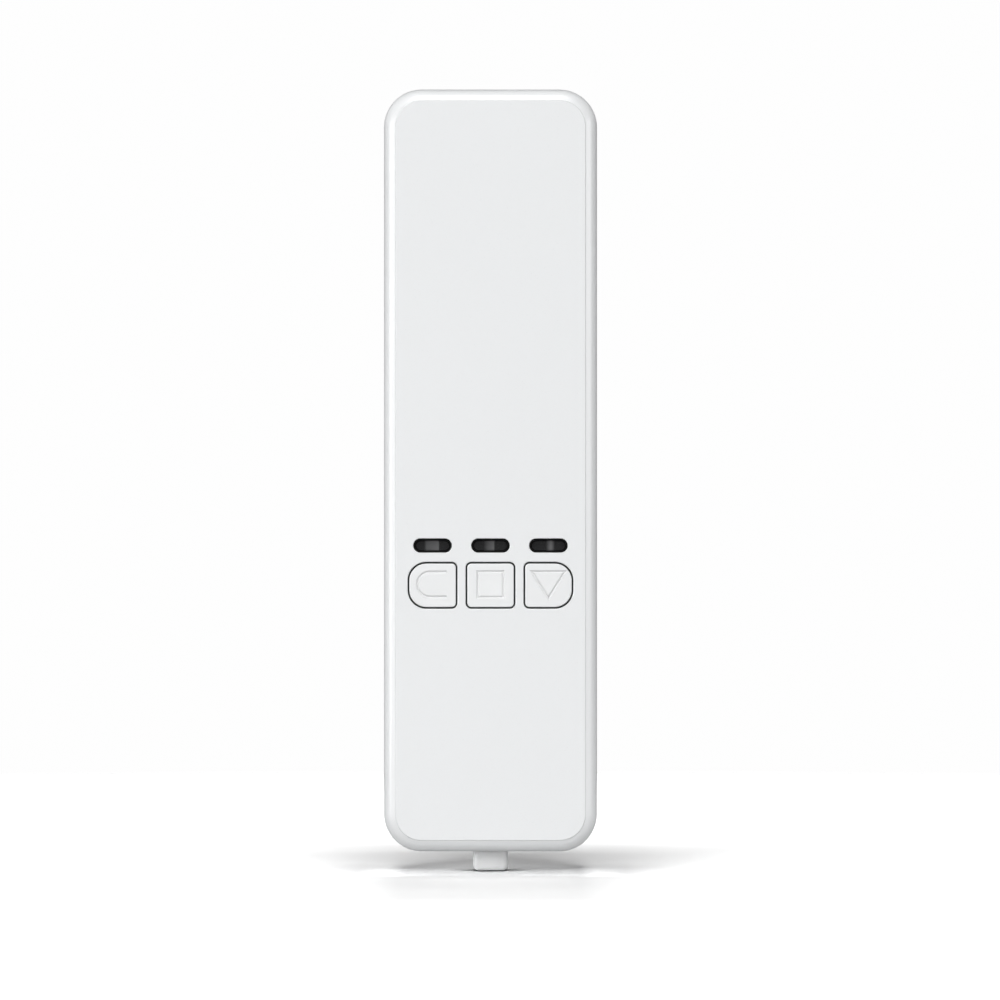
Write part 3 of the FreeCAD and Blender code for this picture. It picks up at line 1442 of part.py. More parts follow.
def gearbox():
    case = body("gearbox_case")

    def outline(inset):
        def draw(sketch):
            ends = (height("gearboxBottom + (%s)" % inset), height("gearboxTop - (%s)" % inset))
            square, big = "gearboxWall * 2 - (%s)" % inset, "gearboxRound - (%s)" % inset
            rounded(sketch, wide("gearboxHalf - (%s)" % inset), ends, [square, square, big, big])

        return draw

    front, lid = depth("gearboxFront"), depth("lidFront")
    grown(case, "XZ", (front, lid), outline("0"))

    def room(sketch):
        ends = (height("gearboxBottom + gearboxFloor"), height("gearboxTop - gearboxWall"))
        rounds = ["fitGap", "fitGap", "gearboxRound - gearboxWall", "gearboxRound - gearboxWall"]
        rounded(sketch, wide("gearboxHalf - gearboxWall"), ends, rounds)

    floor = depth("gearboxFront + gearboxWall")
    taken(case, "XZ", (floor, depth("gearboxRear")), room)
    start = depth("gearboxFront + gearboxWall / 2")
    grown(case, "XZ", (start, lid), discs(gearboxPosts, "gearboxPost"))
    output = [("0", outputAxis)]
    wheel = [("wheelX", wheelAxis)]
    grown(case, "XZ", (start, depth("frontBushRear")), discs(output, "outputBush + bushRing"))
    grown(case, "XZ", (start, depth("wheelFront - fitGap")), discs(wheel, "pinBoss"))
    pegs = [(mirrored("encoderPegOut", mark), outputAxis) for mark in (-1, 1)]
    grown(case, "XZ", (depth("encoderRear"), start), discs(pegs, "encoderBoss"))
    through = (depth("encoderRear - boardThick - seatGap"), start)
    grown(case, "XZ", through, discs(pegs, "encoderPeg"))
    block = rectangle(
        ("motorX - bushBlock", "motorX + bushBlock"),
        (height("bushLow"), height("bushLow + bushTall")),
    )
    grown(case, "XZ", (start, depth("bushBlockRear")), block)
    taken(case, "XZ", (depth("gearboxFront - lipGap"), lid), discs(output, "outputBush + pressGap"))
    taken(case, "XZ", (depth("gearboxFront + gearboxWall / 3"), lid), discs(wheel, "pinRadius + pressGap"))
    taken(case, "XZ", (depth("gearboxFront + gearboxWall"), lid), discs(gearboxPosts, "smallScrew + pilotGap"))
    bush = discs([("motorX", depth("motorDepth"))], "bushRadius + pressGap")
    taken(case, "XY", (height("bushLow - lipGap"), height("bushLow + bushTall + lipGap")), bush)
    nose = discs([("motorX", depth("motorDepth"))], "motorBoss + lipGap")
    floor = (height("gearboxBottom - lipGap"), height("gearboxBottom + gearboxFloor + lipGap"))
    taken(case, "XY", floor, nose)
    spots = [("motorX %s motorScrewOut" % sign, depth("motorDepth")) for sign in "-+"]
    taken(case, "XY", floor, discs(spots, "smallScrew + lipGap"))

    cover = body("gearbox_lid")
    rear = depth("gearboxRear")
    grown(cover, "XZ", (lid, rear), outline("0"))
    grown(cover, "XZ", (depth("pinionRear + fitGap"), lid), discs(wheel, "pinBoss"))
    holes = (depth("pinionRear"), depth("gearboxRear + lipGap"))
    taken(cover, "XZ", holes, discs(output, "outputBush + pressGap"))
    taken(cover, "XZ", holes, discs(wheel, "pinRadius + pressGap"))
    taken(cover, "XZ", holes, discs(gearboxPosts, "smallScrew + lipGap"))
    heads = (depth("gearboxRear - smallHeadTall"), depth("gearboxRear + lipGap"))
    taken(cover, "XZ", heads, discs(gearboxPosts, "smallHead + lipGap"))
    screws = []
    for x, z in gearboxPosts:
        seat = depth("gearboxRear - smallHeadTall")
        tip = depth("gearboxFront + 2 * gearboxWall")
        screws.append(screw(x, seat, tip, z, "smallScrew", "smallHead", "smallHeadTall - seatGap"))
    sub_part("gearbox_screws", joined(screws))

    x, y = "motorX", depth("motorDepth")
    span = (height("bushLow"), height("bushLow + bushTall"))
    hole = (height("bushLow - lipGap"), height("bushLow + bushTall + lipGap"))
    bush = carved(rod("bushRadius", x, y, span, "z"), [rod("shaftRadius + runGap", x, y, hole, "z")])
    sub_part("worm_bush", bush)
    pin = rod("pinRadius", "wheelX", (depth("gearboxFront + gearboxWall / 2"), depth("gearboxRear - lipGap")), wheelAxis, "y")
    sub_part("wheel_pin", pin)


def output_train():
    axis = "0"
    frontEnd, rearEnd = depth("outputShaftFront"), depth("outputShaftRear")
    shaft = rod("outputShaft", axis, (frontEnd, rearEnd), outputAxis, "y")
    clipSpan = (depth("clipFront"), depth("clipFront + clipThick"))
    groove = carved(
        rod("outputShaft + lipWall", axis, clipSpan, outputAxis, "y"),
        [rod("clipGroove", axis, clipSpan, outputAxis, "y")],
    )
    thread = rod("sprocketShank + pilotGap", axis, (depth("outputShaftRear - sprocketWidth"), depth("caseRear")), outputAxis, "y")
    sub_part("output_shaft", carved(shaft, [groove, thread]))
    mouth = box(
        wide("clipMouth"),
        (depth("clipFront - lipGap"), depth("clipFront + clipThick + lipGap")),
        (height("outputUp - clipRadius - lipGap"), outputAxis),
    )
    ring = rod("clipRadius", axis, clipSpan, outputAxis, "y")
    hole = rod("clipGroove + pressGap", axis, (depth("clipFront - lipGap"), depth("clipFront + clipThick + lipGap")), outputAxis, "y")
    sub_part("shaft_clip", carved(ring, [hole, mouth]))
    for name, low, high in (("front", "gearboxFront", "frontBushRear"), ("rear", "lidFront", "rearBushRear")):
        sleeve = rod("outputBush", axis, (depth(low), depth(high)), outputAxis, "y")
        bore = rod("outputShaft + runGap", axis, (depth(low + " - lipGap"), depth(high + " + lipGap")), outputAxis, "y")
        sub_part("shaft_bush_%s" % name, carved(sleeve, [bore]))
    magnet = rod("magnetRadius", axis, (depth("outputShaftFront - magnetThick"), frontEnd), outputAxis, "y")
    sub_part("encoder_magnet", magnet)

    board = body("encoder_board")
    face = (depth("encoderRear - boardThick"), depth("encoderRear"))

    def outline(sketch):
        rounded(sketch, wide("encoderHalf"), (height("encoderLow"), height("encoderHigh")), "boardRound")

    grown(board, "XZ", face, outline)
    pegs = discs([(mirrored("encoderPegOut", mark), outputAxis) for mark in (-1, 1)], "encoderPeg + pressGap")
    taken(board, "XZ", (depth("encoderRear - 2 * boardThick"), depth("encoderRear + lipGap")), pegs)
    ribbon = box(
        ("ribbonLeft", "ribbonLeft + ribbonWide"),
        (depth("boardRear"), depth("boardRear + ribbonThick")),
        (height("boardTop - ribbonLap"), height("encoderLow + ribbonLap")),
    )
    sub_part("encoder_lead", ribbon)


def sprocket():
    wheel = body("sprocket")
    front, rear = depth("sprocketFront"), depth("sprocketRear")
    axis = [("0", outputAxis)]
    blank = grown(wheel, "XZ", (front, rear), discs(axis, "sprocketRim"))
    both = [on_level("y", front), on_level("y", rear)]
    softened(wheel, blank, "sprocketChamfer", lambda edge: any(test(edge) for test in both), "PartDesign::Chamfer")
    ring = all_of([discs(axis, "hubRecessOut"), discs(axis, "hubRecessIn")])
    taken(wheel, "XZ", (depth("sprocketRear - hubRecess"), depth("sprocketRear + lipGap")), ring)
    link = all_of([discs(axis, "sprocketRim + lipWall"), discs(axis, "sprocketRim - linkDepth")])
    taken(wheel, "XZ", (depth("beadDepth - linkSlot / 2"), depth("beadDepth + linkSlot / 2")), link)
    taken(wheel, "XZ", (depth("sprocketFront - lipGap"), depth("outputShaftRear + lipGap")), discs(axis, "outputShaft + pressGap"))
    taken(wheel, "XZ", (depth("outputShaftRear"), depth("sprocketRear + lipGap")), discs(axis, "sprocketShank + lipGap"))
    # bead pockets: one ball turned about the shaft, its poles and seam out in the link groove
    balls = []
    step = "360 / beadCount"
    outward = Rotation(Vector(0, 0, 1), Vector(0, -1, 0), Vector(1, 0, 0))
    for index in range(round(number("beadCount"))):
        ball = doc.addObject("Part::Sphere", "Pocket")
        around = Rotation(Vector(0, 1, 0), (index + 0.5) * number(step))
        ball.Placement = Placement(Vector(), around.multiply(outward))
        bind(ball, "Radius", "beadRadius + beadGap")
        turn = "(%d + 0.5) * %s" % (index, step)
        bind(ball, "Placement.Base.x", "beadCircle * sin(%s)" % turn)
        bind(ball, "Placement.Base.y", depth("beadDepth"))
        bind(ball, "Placement.Base.z", "%s + beadCircle * cos(%s)" % (outputAxis, turn))
        balls.append(ball)
    holders.remove(wheel)
    wheel.Label = "sprocket blank"
    sub_part("sprocket", carved(wheel, balls))
    tip = depth("outputShaftRear - sprocketWidth + lipWall")
    fixing = screw("0", rear, tip, outputAxis, "sprocketShank", "sprocketHead", "sprocketHeadTall")
    sub_part("sprocket_screw", fixing)


# Bracket, latch and fasteners


def bracket():
    plate = body("wall_bracket")
    low, high = height("bracketBottom"), height("bracketTop")
    section = dovetail("bracketFrontHalf", "bracketBackHalf", depth("bracketFront"), "0")
    block = grown(plate, "XY", (low, high), section)
    softened(
        plate,
        block,
        "bracketEdge",
        lambda edge: on_level("z", high)(edge) and not on_level("y", "0")(edge),
        "PartDesign::Chamfer",
    )
    spots = [("0", height("wallScrewUp")), ("0", height("wallScrewUp + wallScrewPitch"))]
    taken(plate, "XZ", (depth("bracketFront - lipGap"), "fitGap"), discs(spots, "wallScrewHole"))
    sunk = (depth("bracketFront - lipGap"), depth("bracketFront + wallHeadDepth"))
    taken(plate, "XZ", sunk, discs(spots, "wallScrewHead"))

    def notch(sketch):
        face, middle = depth("bracketFront - seatGap"), height("rackLow")
        points = [(face, middle + " - rackNotch"), (depth("bracketFront + rackDepth"), middle)]
        polygon(sketch, points + [(face, middle + " + rackNotch")])

    first = taken(plate, "YZ", wide("rackHalf"), notch)
    rack = plate.newObject("PartDesign::LinearPattern", "Rack")
    rack.Originals = [first]
    rack.Direction = (first.Profile[0], ["V_Axis"])
    bind(rack, "Length", "rackPitch * (rackCount - 1)")
    bind(rack, "Occurrences", "rackCount")
    plate.Tip = rack


def release():
    slider = body("release_slider")

    def tab(sketch):
        ends = (height("-tabDrop"), height("tabTop"))
        rounds = ["tabCorner", "tabCorner", "slideGap", "slideGap"]
        rounded(sketch, wide("tabHalfWide"), ends, rounds)

    grown(slider, "XZ", (depth("tabFrontFace"), depth("tabRearFace")), tab)
    front = depth("channelFront + slideGap")
    rear = depth("channelFront + slideGap + sliderThick")
    grown(slider, "XZ", (front, rear), rectangle(wide("sliderHalf"), (height("sliderLow"), height("sliderHigh"))))
    wings = rectangle(wide("wingHalf"), (height("wingLow"), height("wingHigh")))
    grown(slider, "XZ", (front, depth("channelFront + slideGap + wingThick")), wings)
    arms = [
        rectangle([mirrored(x, mark) for x in ("armIn", "sliderHalf")][::mark], (height("sliderHigh - lipWall"), height("armHigh")))
        for mark in (-1, 1)
    ]
    grown(slider, "XZ", (front, rear), all_of(arms))
    tips = [
        rectangle([mirrored(x, mark) for x in ("armIn", "sliderHalf")][::mark], (height("armHigh - lipWall"), height("armHigh + armTip")))
        for mark in (-1, 1)
    ]
    grown(slider, "XZ", (depth("leafFront + leafThick + slideGap"), rear), all_of(tips))

    turns = round(number("springTurns"))
    tall = number("stopLow - sliderHigh - 2 * springWire")
    coil = Part.makeHelix(tall / turns, tall, number("springRadius"))
    start = Vector(number("springRadius"), 0, 0)
    section = Part.Wire(Part.Circle(start, Vector(0, 1, 0), number("springWire")).toShape())
    spring = Part.Wire(coil).makePipeShell([section], True, True)
    foot = Vector(0, number(depth("springDepth")), number(height("sliderHigh + springWire")))
    shaped("release_spring", spring, foot)

    leaf = body("detent_leaf")
    face, back = depth("leafFront"), depth("leafFront + leafThick")
    strip = rectangle(wide("leafHalf"), (height("leafLow"), height("leafHigh")))
    grown(leaf, "XZ", (face, back), strip)
    ears = rectangle(wide("earHalf"), (height("earLow"), height("earLow + earTall")))
    grown(leaf, "XZ", (face, back), ears)

    def nose(sketch):
        middle = height("noseUp")
        near, far = depth("leafFront + leafThick - seatGap"), depth("leafFront + leafThick + noseReach")
        points = [(near, middle + " - noseHalf"), (far, middle), (near, middle + " + noseHalf")]
        polygon(sketch, points)

    grown(leaf, "YZ", wide("leafHalf"), nose)
    hole = discs([("0", height("leafScrewUp"))], "smallScrew + lipGap")
    taken(leaf, "XZ", (depth("leafFront - lipGap"), depth("leafFront + 2 * leafThick")), hole)
    tip = depth("bumpFront + lipWall")
    fixing = screw("0", back, tip, height("leafScrewUp"), "smallScrew", "smallHead", "leafHeadTall")
    sub_part("detent_screw", fixing)


def case_screws():
    screws = []
    for x, z in lowScrews:
        seat = depth("lowHeadDepth")
        screws.append(screw(x, seat, depth("screwTip"), z, "screwRadius", "screwHead", "screwHeadTall"))
    for x, z in highScrews:
        seat = depth("chamberFront - screwHeadTall")
        screws.append(screw(x, seat, depth("screwTip"), z, "screwRadius", "screwHead", "screwHeadTall - lipGap"))
    sub_part("case_screws", joined(screws))


front_shell()
rear_shell()
chain_cover()
buttons()
windows()
boards()
battery()
motor()
gears()
gearbox()
output_train()
sprocket()
bracket()
release()
case_screws()
doc.recompute()

problems = [
    "%s: %s" % (item.Label, ", ".join(item.State))
    for item in doc.Objects
    if "Invalid" in item.State or "Error" in item.State
]
for item in holders:
    if item.Shape.isNull() or not item.Shape.isValid() or not item.Shape.Solids:
        problems.append("%s: its shape is empty or not valid" % item.Label)
if problems:
    raise RuntimeError("; ".join(problems))
for item in holders:
    item.Shape.exportStep("parts/%s.step" % item.Label)
print(len(holders), "sub-parts written")
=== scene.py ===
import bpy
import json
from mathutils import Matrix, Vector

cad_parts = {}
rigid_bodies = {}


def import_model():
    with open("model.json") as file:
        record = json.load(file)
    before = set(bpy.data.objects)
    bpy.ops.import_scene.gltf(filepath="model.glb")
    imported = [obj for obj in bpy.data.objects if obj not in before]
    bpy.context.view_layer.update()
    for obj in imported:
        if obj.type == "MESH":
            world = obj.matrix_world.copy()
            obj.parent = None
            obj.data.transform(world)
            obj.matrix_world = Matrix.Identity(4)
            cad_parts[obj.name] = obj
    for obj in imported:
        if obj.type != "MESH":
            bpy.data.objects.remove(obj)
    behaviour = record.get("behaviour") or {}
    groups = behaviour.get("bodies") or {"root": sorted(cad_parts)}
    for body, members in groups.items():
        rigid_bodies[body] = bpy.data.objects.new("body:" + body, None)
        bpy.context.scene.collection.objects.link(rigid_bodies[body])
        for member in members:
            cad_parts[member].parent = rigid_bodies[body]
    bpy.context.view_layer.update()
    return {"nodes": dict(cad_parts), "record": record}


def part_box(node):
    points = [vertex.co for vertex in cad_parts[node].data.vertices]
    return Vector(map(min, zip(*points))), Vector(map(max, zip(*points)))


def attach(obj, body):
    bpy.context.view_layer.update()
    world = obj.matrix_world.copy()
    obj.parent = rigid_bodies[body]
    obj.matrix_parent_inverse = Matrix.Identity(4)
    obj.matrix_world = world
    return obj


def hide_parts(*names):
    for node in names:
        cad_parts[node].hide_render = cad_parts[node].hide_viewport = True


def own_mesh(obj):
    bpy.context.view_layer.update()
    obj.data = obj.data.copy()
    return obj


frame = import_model()

import json
import math
import bmesh
import bpy
from mathutils import Matrix, Vector

mm = 0.001
nodes = frame["nodes"]
slotOf = {part["node"]: part["material_slot"] for part in frame["record"]["subparts"]}
bodies = frame["record"]["behaviour"]["bodies"]
bodyOf = {node: body for body, members in bodies.items() for node in members}
print("frame loaded:", len(nodes), "nodes")

# Helpers for nodes and units


def metres(values):
    return [value * mm for value in values]


def rgba(colour):
    return (*colour, 1.0)


def feed(tree, target, value):  # a socket is linked, anything else becomes the input's own value
    if isinstance(value, bpy.types.NodeSocket):
        tree.links.new(value, target)
    else:
        target.default_value = value


def add(tree, kind, *operands, **settings):  # a shader node, or one of another kind by its full name
    node = tree.nodes.new(kind if "Node" in kind else "ShaderNode" + kind)
    for key, value in settings.items():
        if hasattr(node, key):
            setattr(node, key, value)
        else:
            feed(tree, node.inputs[key.replace("_", " ")], value)
    for target, value in zip(node.inputs, operands):
        feed(tree, target, value)
    return node


def maths(tree, operation, *operands):
    return add(tree, "Math", *operands, operation=operation).outputs[0]


def product(tree, first, second):
    return maths(tree, "MULTIPLY", first, second)


def ranged(tree, source, low, high, given=(0.0, 1.0)):  # the given span of the source, put on low to high
    limits = {"From_Min": given[0], "From_Max": given[1], "To_Min": low, "To_Max": high}
    return add(tree, "MapRange", source, **limits).outputs[0]


def mixed(tree, share, first, second):
    return add(tree, "Mix", data_type="RGBA", Factor=share, A=first, B=second).outputs["Result"]


def graded(tree, source, span, stops):  # a colour ramp over a span in mm, each stop a place and a colour
    near, away = span
    ramp = add(tree, "ValToRGB", ranged(tree, source, 0.0, 1.0, metres(span)))
    elements = ramp.color_ramp.elements
    while len(elements) < len(stops):
        elements.new(0.5)
    for element, (place, colour) in zip(elements, stops):
        element.position = (place - near) / (away - near)
        element.color = rgba(colour)
    return ramp.outputs["Color"]


# Stage: level camera straight on to the face, pale floor with a painted shadow, soft lights from the front
# and above

camera = {"at": (1.96, -1542.0, 18.6), "lens": 261.9, "sensor": 36.0, "clip": (0.05, 60.0)}
floorLook = {
    "level": -59.3, "reach": 600.0, "fade": (360.0, 550.0), "glow": (120.0, 320.0),
    "glowMost": 0.9,
    "bounce": 0.6,  # tone for every ray but the camera's
    "gain": 5.75,
    "plain": 0.4,  # the value of the painted shadow rows away from the part
    "rowsSpan": (-200.0, 80.0),
    # painted shadow: the floor's grey by its place from front to back, darker just behind the part
    "rows": ((-195.0, 0.34), (-122.0, 0.228), (-98.0, 0.238), (-80.0, 0.215), (-60.0, 0.2), (-36.0, 0.2),
             (-8.0, 0.21), (4.0, 0.25), (18.0, 0.335), (30.0, 0.305), (60.0, 0.305), (78.0, 0.4)),
    "rowsSides": (18.0, 50.0), "liftSpan": (-50.0, 20.0),
    # painted light: extra grey that lightens the floor under the part, where its shadow falls
    "lift": ((-40.0, 0.0), (-36.8, 0.07), (-32.8, 0.37), (-28.0, 0.42), (-20.0, 0.41), (-14.0, 0.36),
             (-8.0, 0.28), (0.0, 0.18), (8.0, 0.12), (18.0, 0.0)),
    # the sides of the painted lift, then the reach, power and rays of the painted contact shadow
    "liftSides": (16.0, 28.0), "contactReach": 5.2, "contactPower": 4.0, "contactRays": 16,
    "footSides": (2.6, 3.8), "footFront": (-13.4, -12.4),
    "footTouch": (1.0, 0.985),  # how open the floor is where the painted contact shadow in front of the tab starts and is full
    "footDeep": 0.95,
}
air = {"seen": (0.99, 0.99, 0.99), "axis": (-0.1, -0.96, 0.2), "strength": (0.02, 0.15)}
lamps = {  # place and size in metres, power in watts, and for the last one where it points
    "keyLight": ((-0.06, -1.20, 1.45), (1.0, 1.0), 12.2),
    "fillLight": ((1.9, -1.35, 0.32), (1.4, 0.7), 19.0),
    "sideLight": ((-1.3, -0.62, 0.1), (0.30, 0.5), 6.2),
    "sheenLight": ((-1.0, -1.0, 0.21), (0.5, 0.5), 4.8),
    "topLight": ((-0.05, -0.75, 1.3), (0.8, 0.14), 4.6),
    "backLight": ((0.9, 1.9, 0.12), (1.2, 0.3), 15.0),
    "tabLight": ((-0.62, -1.3, 0.0), (0.3, 0.2), 6.5, (0, -0.013, -0.057)),
}


def shown(name, data):
    obj = bpy.data.objects.new(name, data)
    bpy.context.scene.collection.objects.link(obj)
    return obj


def buildCamera(c):
    eye = bpy.data.cameras.new("productCamera")
    eye.lens, eye.sensor_width = c["lens"], c["sensor"]
    eye.clip_start, eye.clip_end = c["clip"]
    holder = shown("productCamera", eye)
    holder.location = metres(c["at"])
    holder.rotation_euler = (math.pi / 2, 0, 0)
    bpy.context.scene.camera = holder
    bpy.context.scene.view_settings.view_transform = "Standard"


def softLight(name, spot, size, power, aim=(0, 0, 0.02)):
    lamp = bpy.data.lights.new(name, "AREA")
    lamp.shape = "RECTANGLE"
    lamp.size, lamp.size_y = size
    lamp.energy = power
    holder = shown(name, lamp)
    holder.location = spot
    holder.visible_camera = False
    holder.rotation_euler = (Vector(aim) - Vector(spot)).to_track_quat("-Z", "Y").to_euler()


def emptied(owner):
    owner.use_nodes = True
    owner.node_tree.nodes.clear()
    return owner.node_tree


def floorShadowTone(tree, f, where):  # painted shadow: grey by the place on the floor, darker where the part is close and lighter under its front
    place = add(tree, "SeparateXYZ", where).outputs
    across = maths(tree, "ABSOLUTE", place["X"])
    # painted shade: ambient occlusion darkens the floor's colour where the part comes close
    room = {"samples": f["contactRays"], "Distance": f["contactReach"] * mm}
    openness = add(tree, "AmbientOcclusion", **room).outputs["AO"]

    def greys(name):
        stops = [(spot, [grey] * 3) for spot, grey in f[name]]
        return graded(tree, place["Y"], f[name + "Span"], stops)

    aside = ranged(tree, across, 0.0, 1.0, metres(f["rowsSides"]))
    rows = add(tree, "Mix", Factor=aside, A=greys("rows"), B=f["plain"]).outputs["Result"]
    lift = product(tree, greys("lift"), ranged(tree, across, 1.0, 0.0, metres(f["liftSides"])))
    tone = product(tree, maths(tree, "ADD", rows, lift), f["gain"])
    tone = product(tree, tone, maths(tree, "POWER", openness, f["contactPower"]))
    # painted shadow: a dark strip on the floor just in front of the tab, where it stands
    footShadow = product(tree, ranged(tree, across, 1.0, 0.0, metres(f["footSides"])),
                   ranged(tree, place["Y"], 1.0, 0.0, metres(f["footFront"])))
    footShadow = product(tree, footShadow, ranged(tree, openness, 0.0, 1.0, f["footTouch"]))
    return product(tree, maths(tree, "MULTIPLY_ADD", footShadow, -f["footDeep"], 1.0), tone)


def buildFloor(f):
    reach, level = f["reach"] * mm, f["level"] * mm
    mesh = bpy.data.meshes.new("floor")
    corners = [(x * reach, y * reach, level) for x, y in ((-1, -1), (1, -1), (1, 1), (-1, 1))]
    mesh.from_pydata(corners, [], [(0, 1, 2, 3)])
    paper = bpy.data.materials.new("floorPaper")
    tree = emptied(paper)
    where = add(tree, "TexCoord").outputs["Object"]
    seen = add(tree, "LightPath").outputs["Is Camera Ray"]
    tone = add(tree, "Mix", Factor=seen, A=f["bounce"], B=floorShadowTone(tree, f, where))
    # painted light: the camera sees the floor glow more the farther it is from the part, so only the floor
    # near it keeps the painted shadow
    far = add(tree, "VectorMath", where, operation="LENGTH").outputs["Value"]
    shine = product(tree, seen, ranged(tree, far, 0.0, f["glowMost"], metres(f["glow"])))
    faded = ranged(tree, far, 0.0, 1.0, metres(f["fade"]))
    gone = maths(tree, "MAXIMUM", faded, add(tree, "NewGeometry").outputs["Backfacing"])
    paint = add(tree, "BsdfDiffuse", Color=tone.outputs["Result"])
    glow = add(tree, "Emission", Strength=shine)
    lit = add(tree, "AddShader", paint.outputs[0], glow.outputs[0])
    clear = add(tree, "BsdfTransparent")
    ending = add(tree, "MixShader", gone, lit.outputs[0], clear.outputs[0])
    add(tree, "OutputMaterial", ending.outputs[0])
    mesh.materials.append(paper)
    floor = shown("floor", mesh)
    return floor


def buildAir(a):  # even white for the camera, a soft room light from the front for the rest
    world = bpy.data.worlds.new("studioAir")
    bpy.context.scene.world = world
    tree = emptied(world)
    where = add(tree, "TexCoord").outputs["Generated"]
    facing = add(tree, "VectorMath", where, a["axis"], operation="DOT_PRODUCT").outputs["Value"]
    room = add(tree, "Background", Strength=ranged(tree, facing, *a["strength"]))
    seen = add(tree, "Background", Color=rgba(a["seen"]))
    direct = add(tree, "LightPath").outputs["Is Camera Ray"]
    ending = add(tree, "MixShader", direct, room.outputs[0], seen.outputs[0])
    add(tree, "OutputWorld", ending.outputs[0])


buildCamera(camera)
floor = buildFloor(floorLook)
buildAir(air)
for name, settings in lamps.items():
    softLight(name, *settings)
print("stage set")

# Shader groups that several finishes share


def socketKind(example):  # the socket type that a default value, or a type's own name, calls for
    if isinstance(example, str):
        return "NodeSocket" + example
    if isinstance(example, tuple):
        return {3: "NodeSocketVector", 4: "NodeSocketColor"}[len(example)]
    return "NodeSocketInt" if isinstance(example, int) else "NodeSocketFloat"


def newGroup(name, inputs, outputs, kind="ShaderNodeTree"):  # a group with its sockets and nothing inside
    tree = bpy.data.node_groups.new(name, kind)
    for label, example in inputs.items():
        socket = tree.interface.new_socket(label, in_out="INPUT", socket_type=socketKind(example))
        if not isinstance(example, str):
            socket.default_value = example
    for label, word in outputs.items():
        tree.interface.new_socket(label, in_out="OUTPUT", socket_type=socketKind(word))
    return tree, tree.nodes.new("NodeGroupInput").outputs, tree.nodes.new("NodeGroupOutput").inputs


def raised(tree, take, give, height, mask):  # ends a group with the relief of a height, and its mask
    bump = add(tree, "Bump", Strength=1.0, Height=height, Distance=take["Depth"])
    feed(tree, give["Normal"], bump.outputs["Normal"])
    feed(tree, give["Mask"], mask)
    return tree


def buildMouldGrain():  # spark-eroded mould texture: a fine noise with scattered pits
    pitSize, pitDeep = 0.6, 0.35
    tree, take, give = newGroup("mouldGrain", {"Vector": "Vector", "Grain": 4000.0, "Depth": 3e-6},
                                {"Normal": "Vector", "Mask": "Float"})
    where = take["Vector"]
    fine = add(tree, "TexNoise", Vector=where, Scale=take["Grain"], Detail=3.0, Roughness=0.6)
    pits = add(tree, "TexVoronoi", Vector=where, Scale=product(tree, take["Grain"], pitSize))
    height = maths(tree, "ADD", fine.outputs["Fac"], product(tree, pits.outputs["Distance"], pitDeep))
    return raised(tree, take, give, height, fine.outputs["Fac"])


def buildDrift():  # slow change of tone over a moulding, from flow and handling
    tree, take, give = newGroup(
        "toneDrift",
        {"Vector": "Vector", "Colour": (0.8, 0.8, 0.8, 1), "Second": (0.7, 0.7, 0.7, 1), "Scale": 30.0,
         "Amount": 0.3},
        {"Colour": "Color"})
    slow = add(tree, "TexNoise", Vector=take["Vector"], Scale=take["Scale"], Detail=4.0,
               Roughness=0.55)
    share = product(tree, slow.outputs["Fac"], take["Amount"])
    feed(tree, give["Colour"], mixed(tree, share, take["Colour"], take["Second"]))
    return tree


def buildEdgeWear():  # corners polished or rubbed by hands and tools
    full = 0.62
    tree, take, give = newGroup("edgeWear", {"Vector": "Vector", "Start": 0.52, "Break": 900.0},
                                {"Mask": "Float"})
    edges = add(tree, "NewGeometry").outputs["Pointiness"]
    noise = add(tree, "TexNoise", Vector=take["Vector"], Scale=take["Break"], Detail=5.0)
    worn = add(tree, "MapRange", Value=edges, From_Min=take["Start"], From_Max=full)
    feed(tree, give["Mask"], product(tree, worn.outputs[0], noise.outputs["Fac"]))
    return tree


def buildTooling():  # drawn or turned metal: fine lines along one axis
    tree, take, give = newGroup(
        "toolLines", {"Vector": "Vector", "Stretch": (1, 1, 60), "Scale": 900.0, "Depth": 2e-6},
        {"Normal": "Vector", "Mask": "Float"})
    drawn = add(tree, "VectorMath", take["Vector"], take["Stretch"], operation="DIVIDE").outputs[0]
    lines = add(tree, "TexNoise", Vector=drawn, Scale=take["Scale"], Detail=6.0, Roughness=0.7)
    return raised(tree, take, give, lines.outputs["Fac"], lines.outputs["Fac"])


grainGroup, driftGroup = buildMouldGrain(), buildDrift()
wearGroup, toolGroup = buildEdgeWear(), buildTooling()
print("shader groups built")

# Finishes


def placed(tree, group, vector, **values):
    node = tree.nodes.new("ShaderNodeGroup")
    node.node_tree = group
    for key, value in dict(values, Vector=vector).items():
        feed(tree, node.inputs[key], value)
    return node.outputs


def scaled(colour, share):
    return rgba([min(1.0, value * share) for value in colour])


def startFinish(name):
    material = bpy.data.materials.new(name)
    material.use_nodes = True
    tree = material.node_tree
    where = tree.nodes.new("ShaderNodeTexCoord").outputs["Object"]
    return material, tree, tree.nodes["Principled BSDF"].inputs, where


def coated(name, colours, drift, relief, rough, rub, sockets):  # drifting tone, worn edges, a fine relief
    material, tree, shader, where = startFinish(name)
    group, given = relief
    skin = placed(tree, group, where, **given)
    first, second = (rgba(colour) for colour in colours)
    tone = placed(tree, driftGroup, where, Colour=first, Second=second, Scale=drift[0], Amount=drift[1])
    wear = placed(tree, wearGroup, where)
    feed(tree, shader["Base Color"], mixed(tree, wear["Mask"], tone["Colour"], scaled(colours[0], rub)))
    feed(tree, shader["Roughness"], ranged(tree, skin["Mask"], *rough))
    feed(tree, shader["Normal"], skin["Normal"])
    for key, value in sockets.items():
        shader[key.replace("_", " ")].default_value = value
    return material


def plastic(name, *colours, rough=(0.36, 0.46), grain=4200.0, depth=2.5e-6, drift=(26.0, 0.5), **sockets):
    return coated(name, colours, drift, (grainGroup, {"Grain": grain, "Depth": depth}), rough, 1.06, sockets)


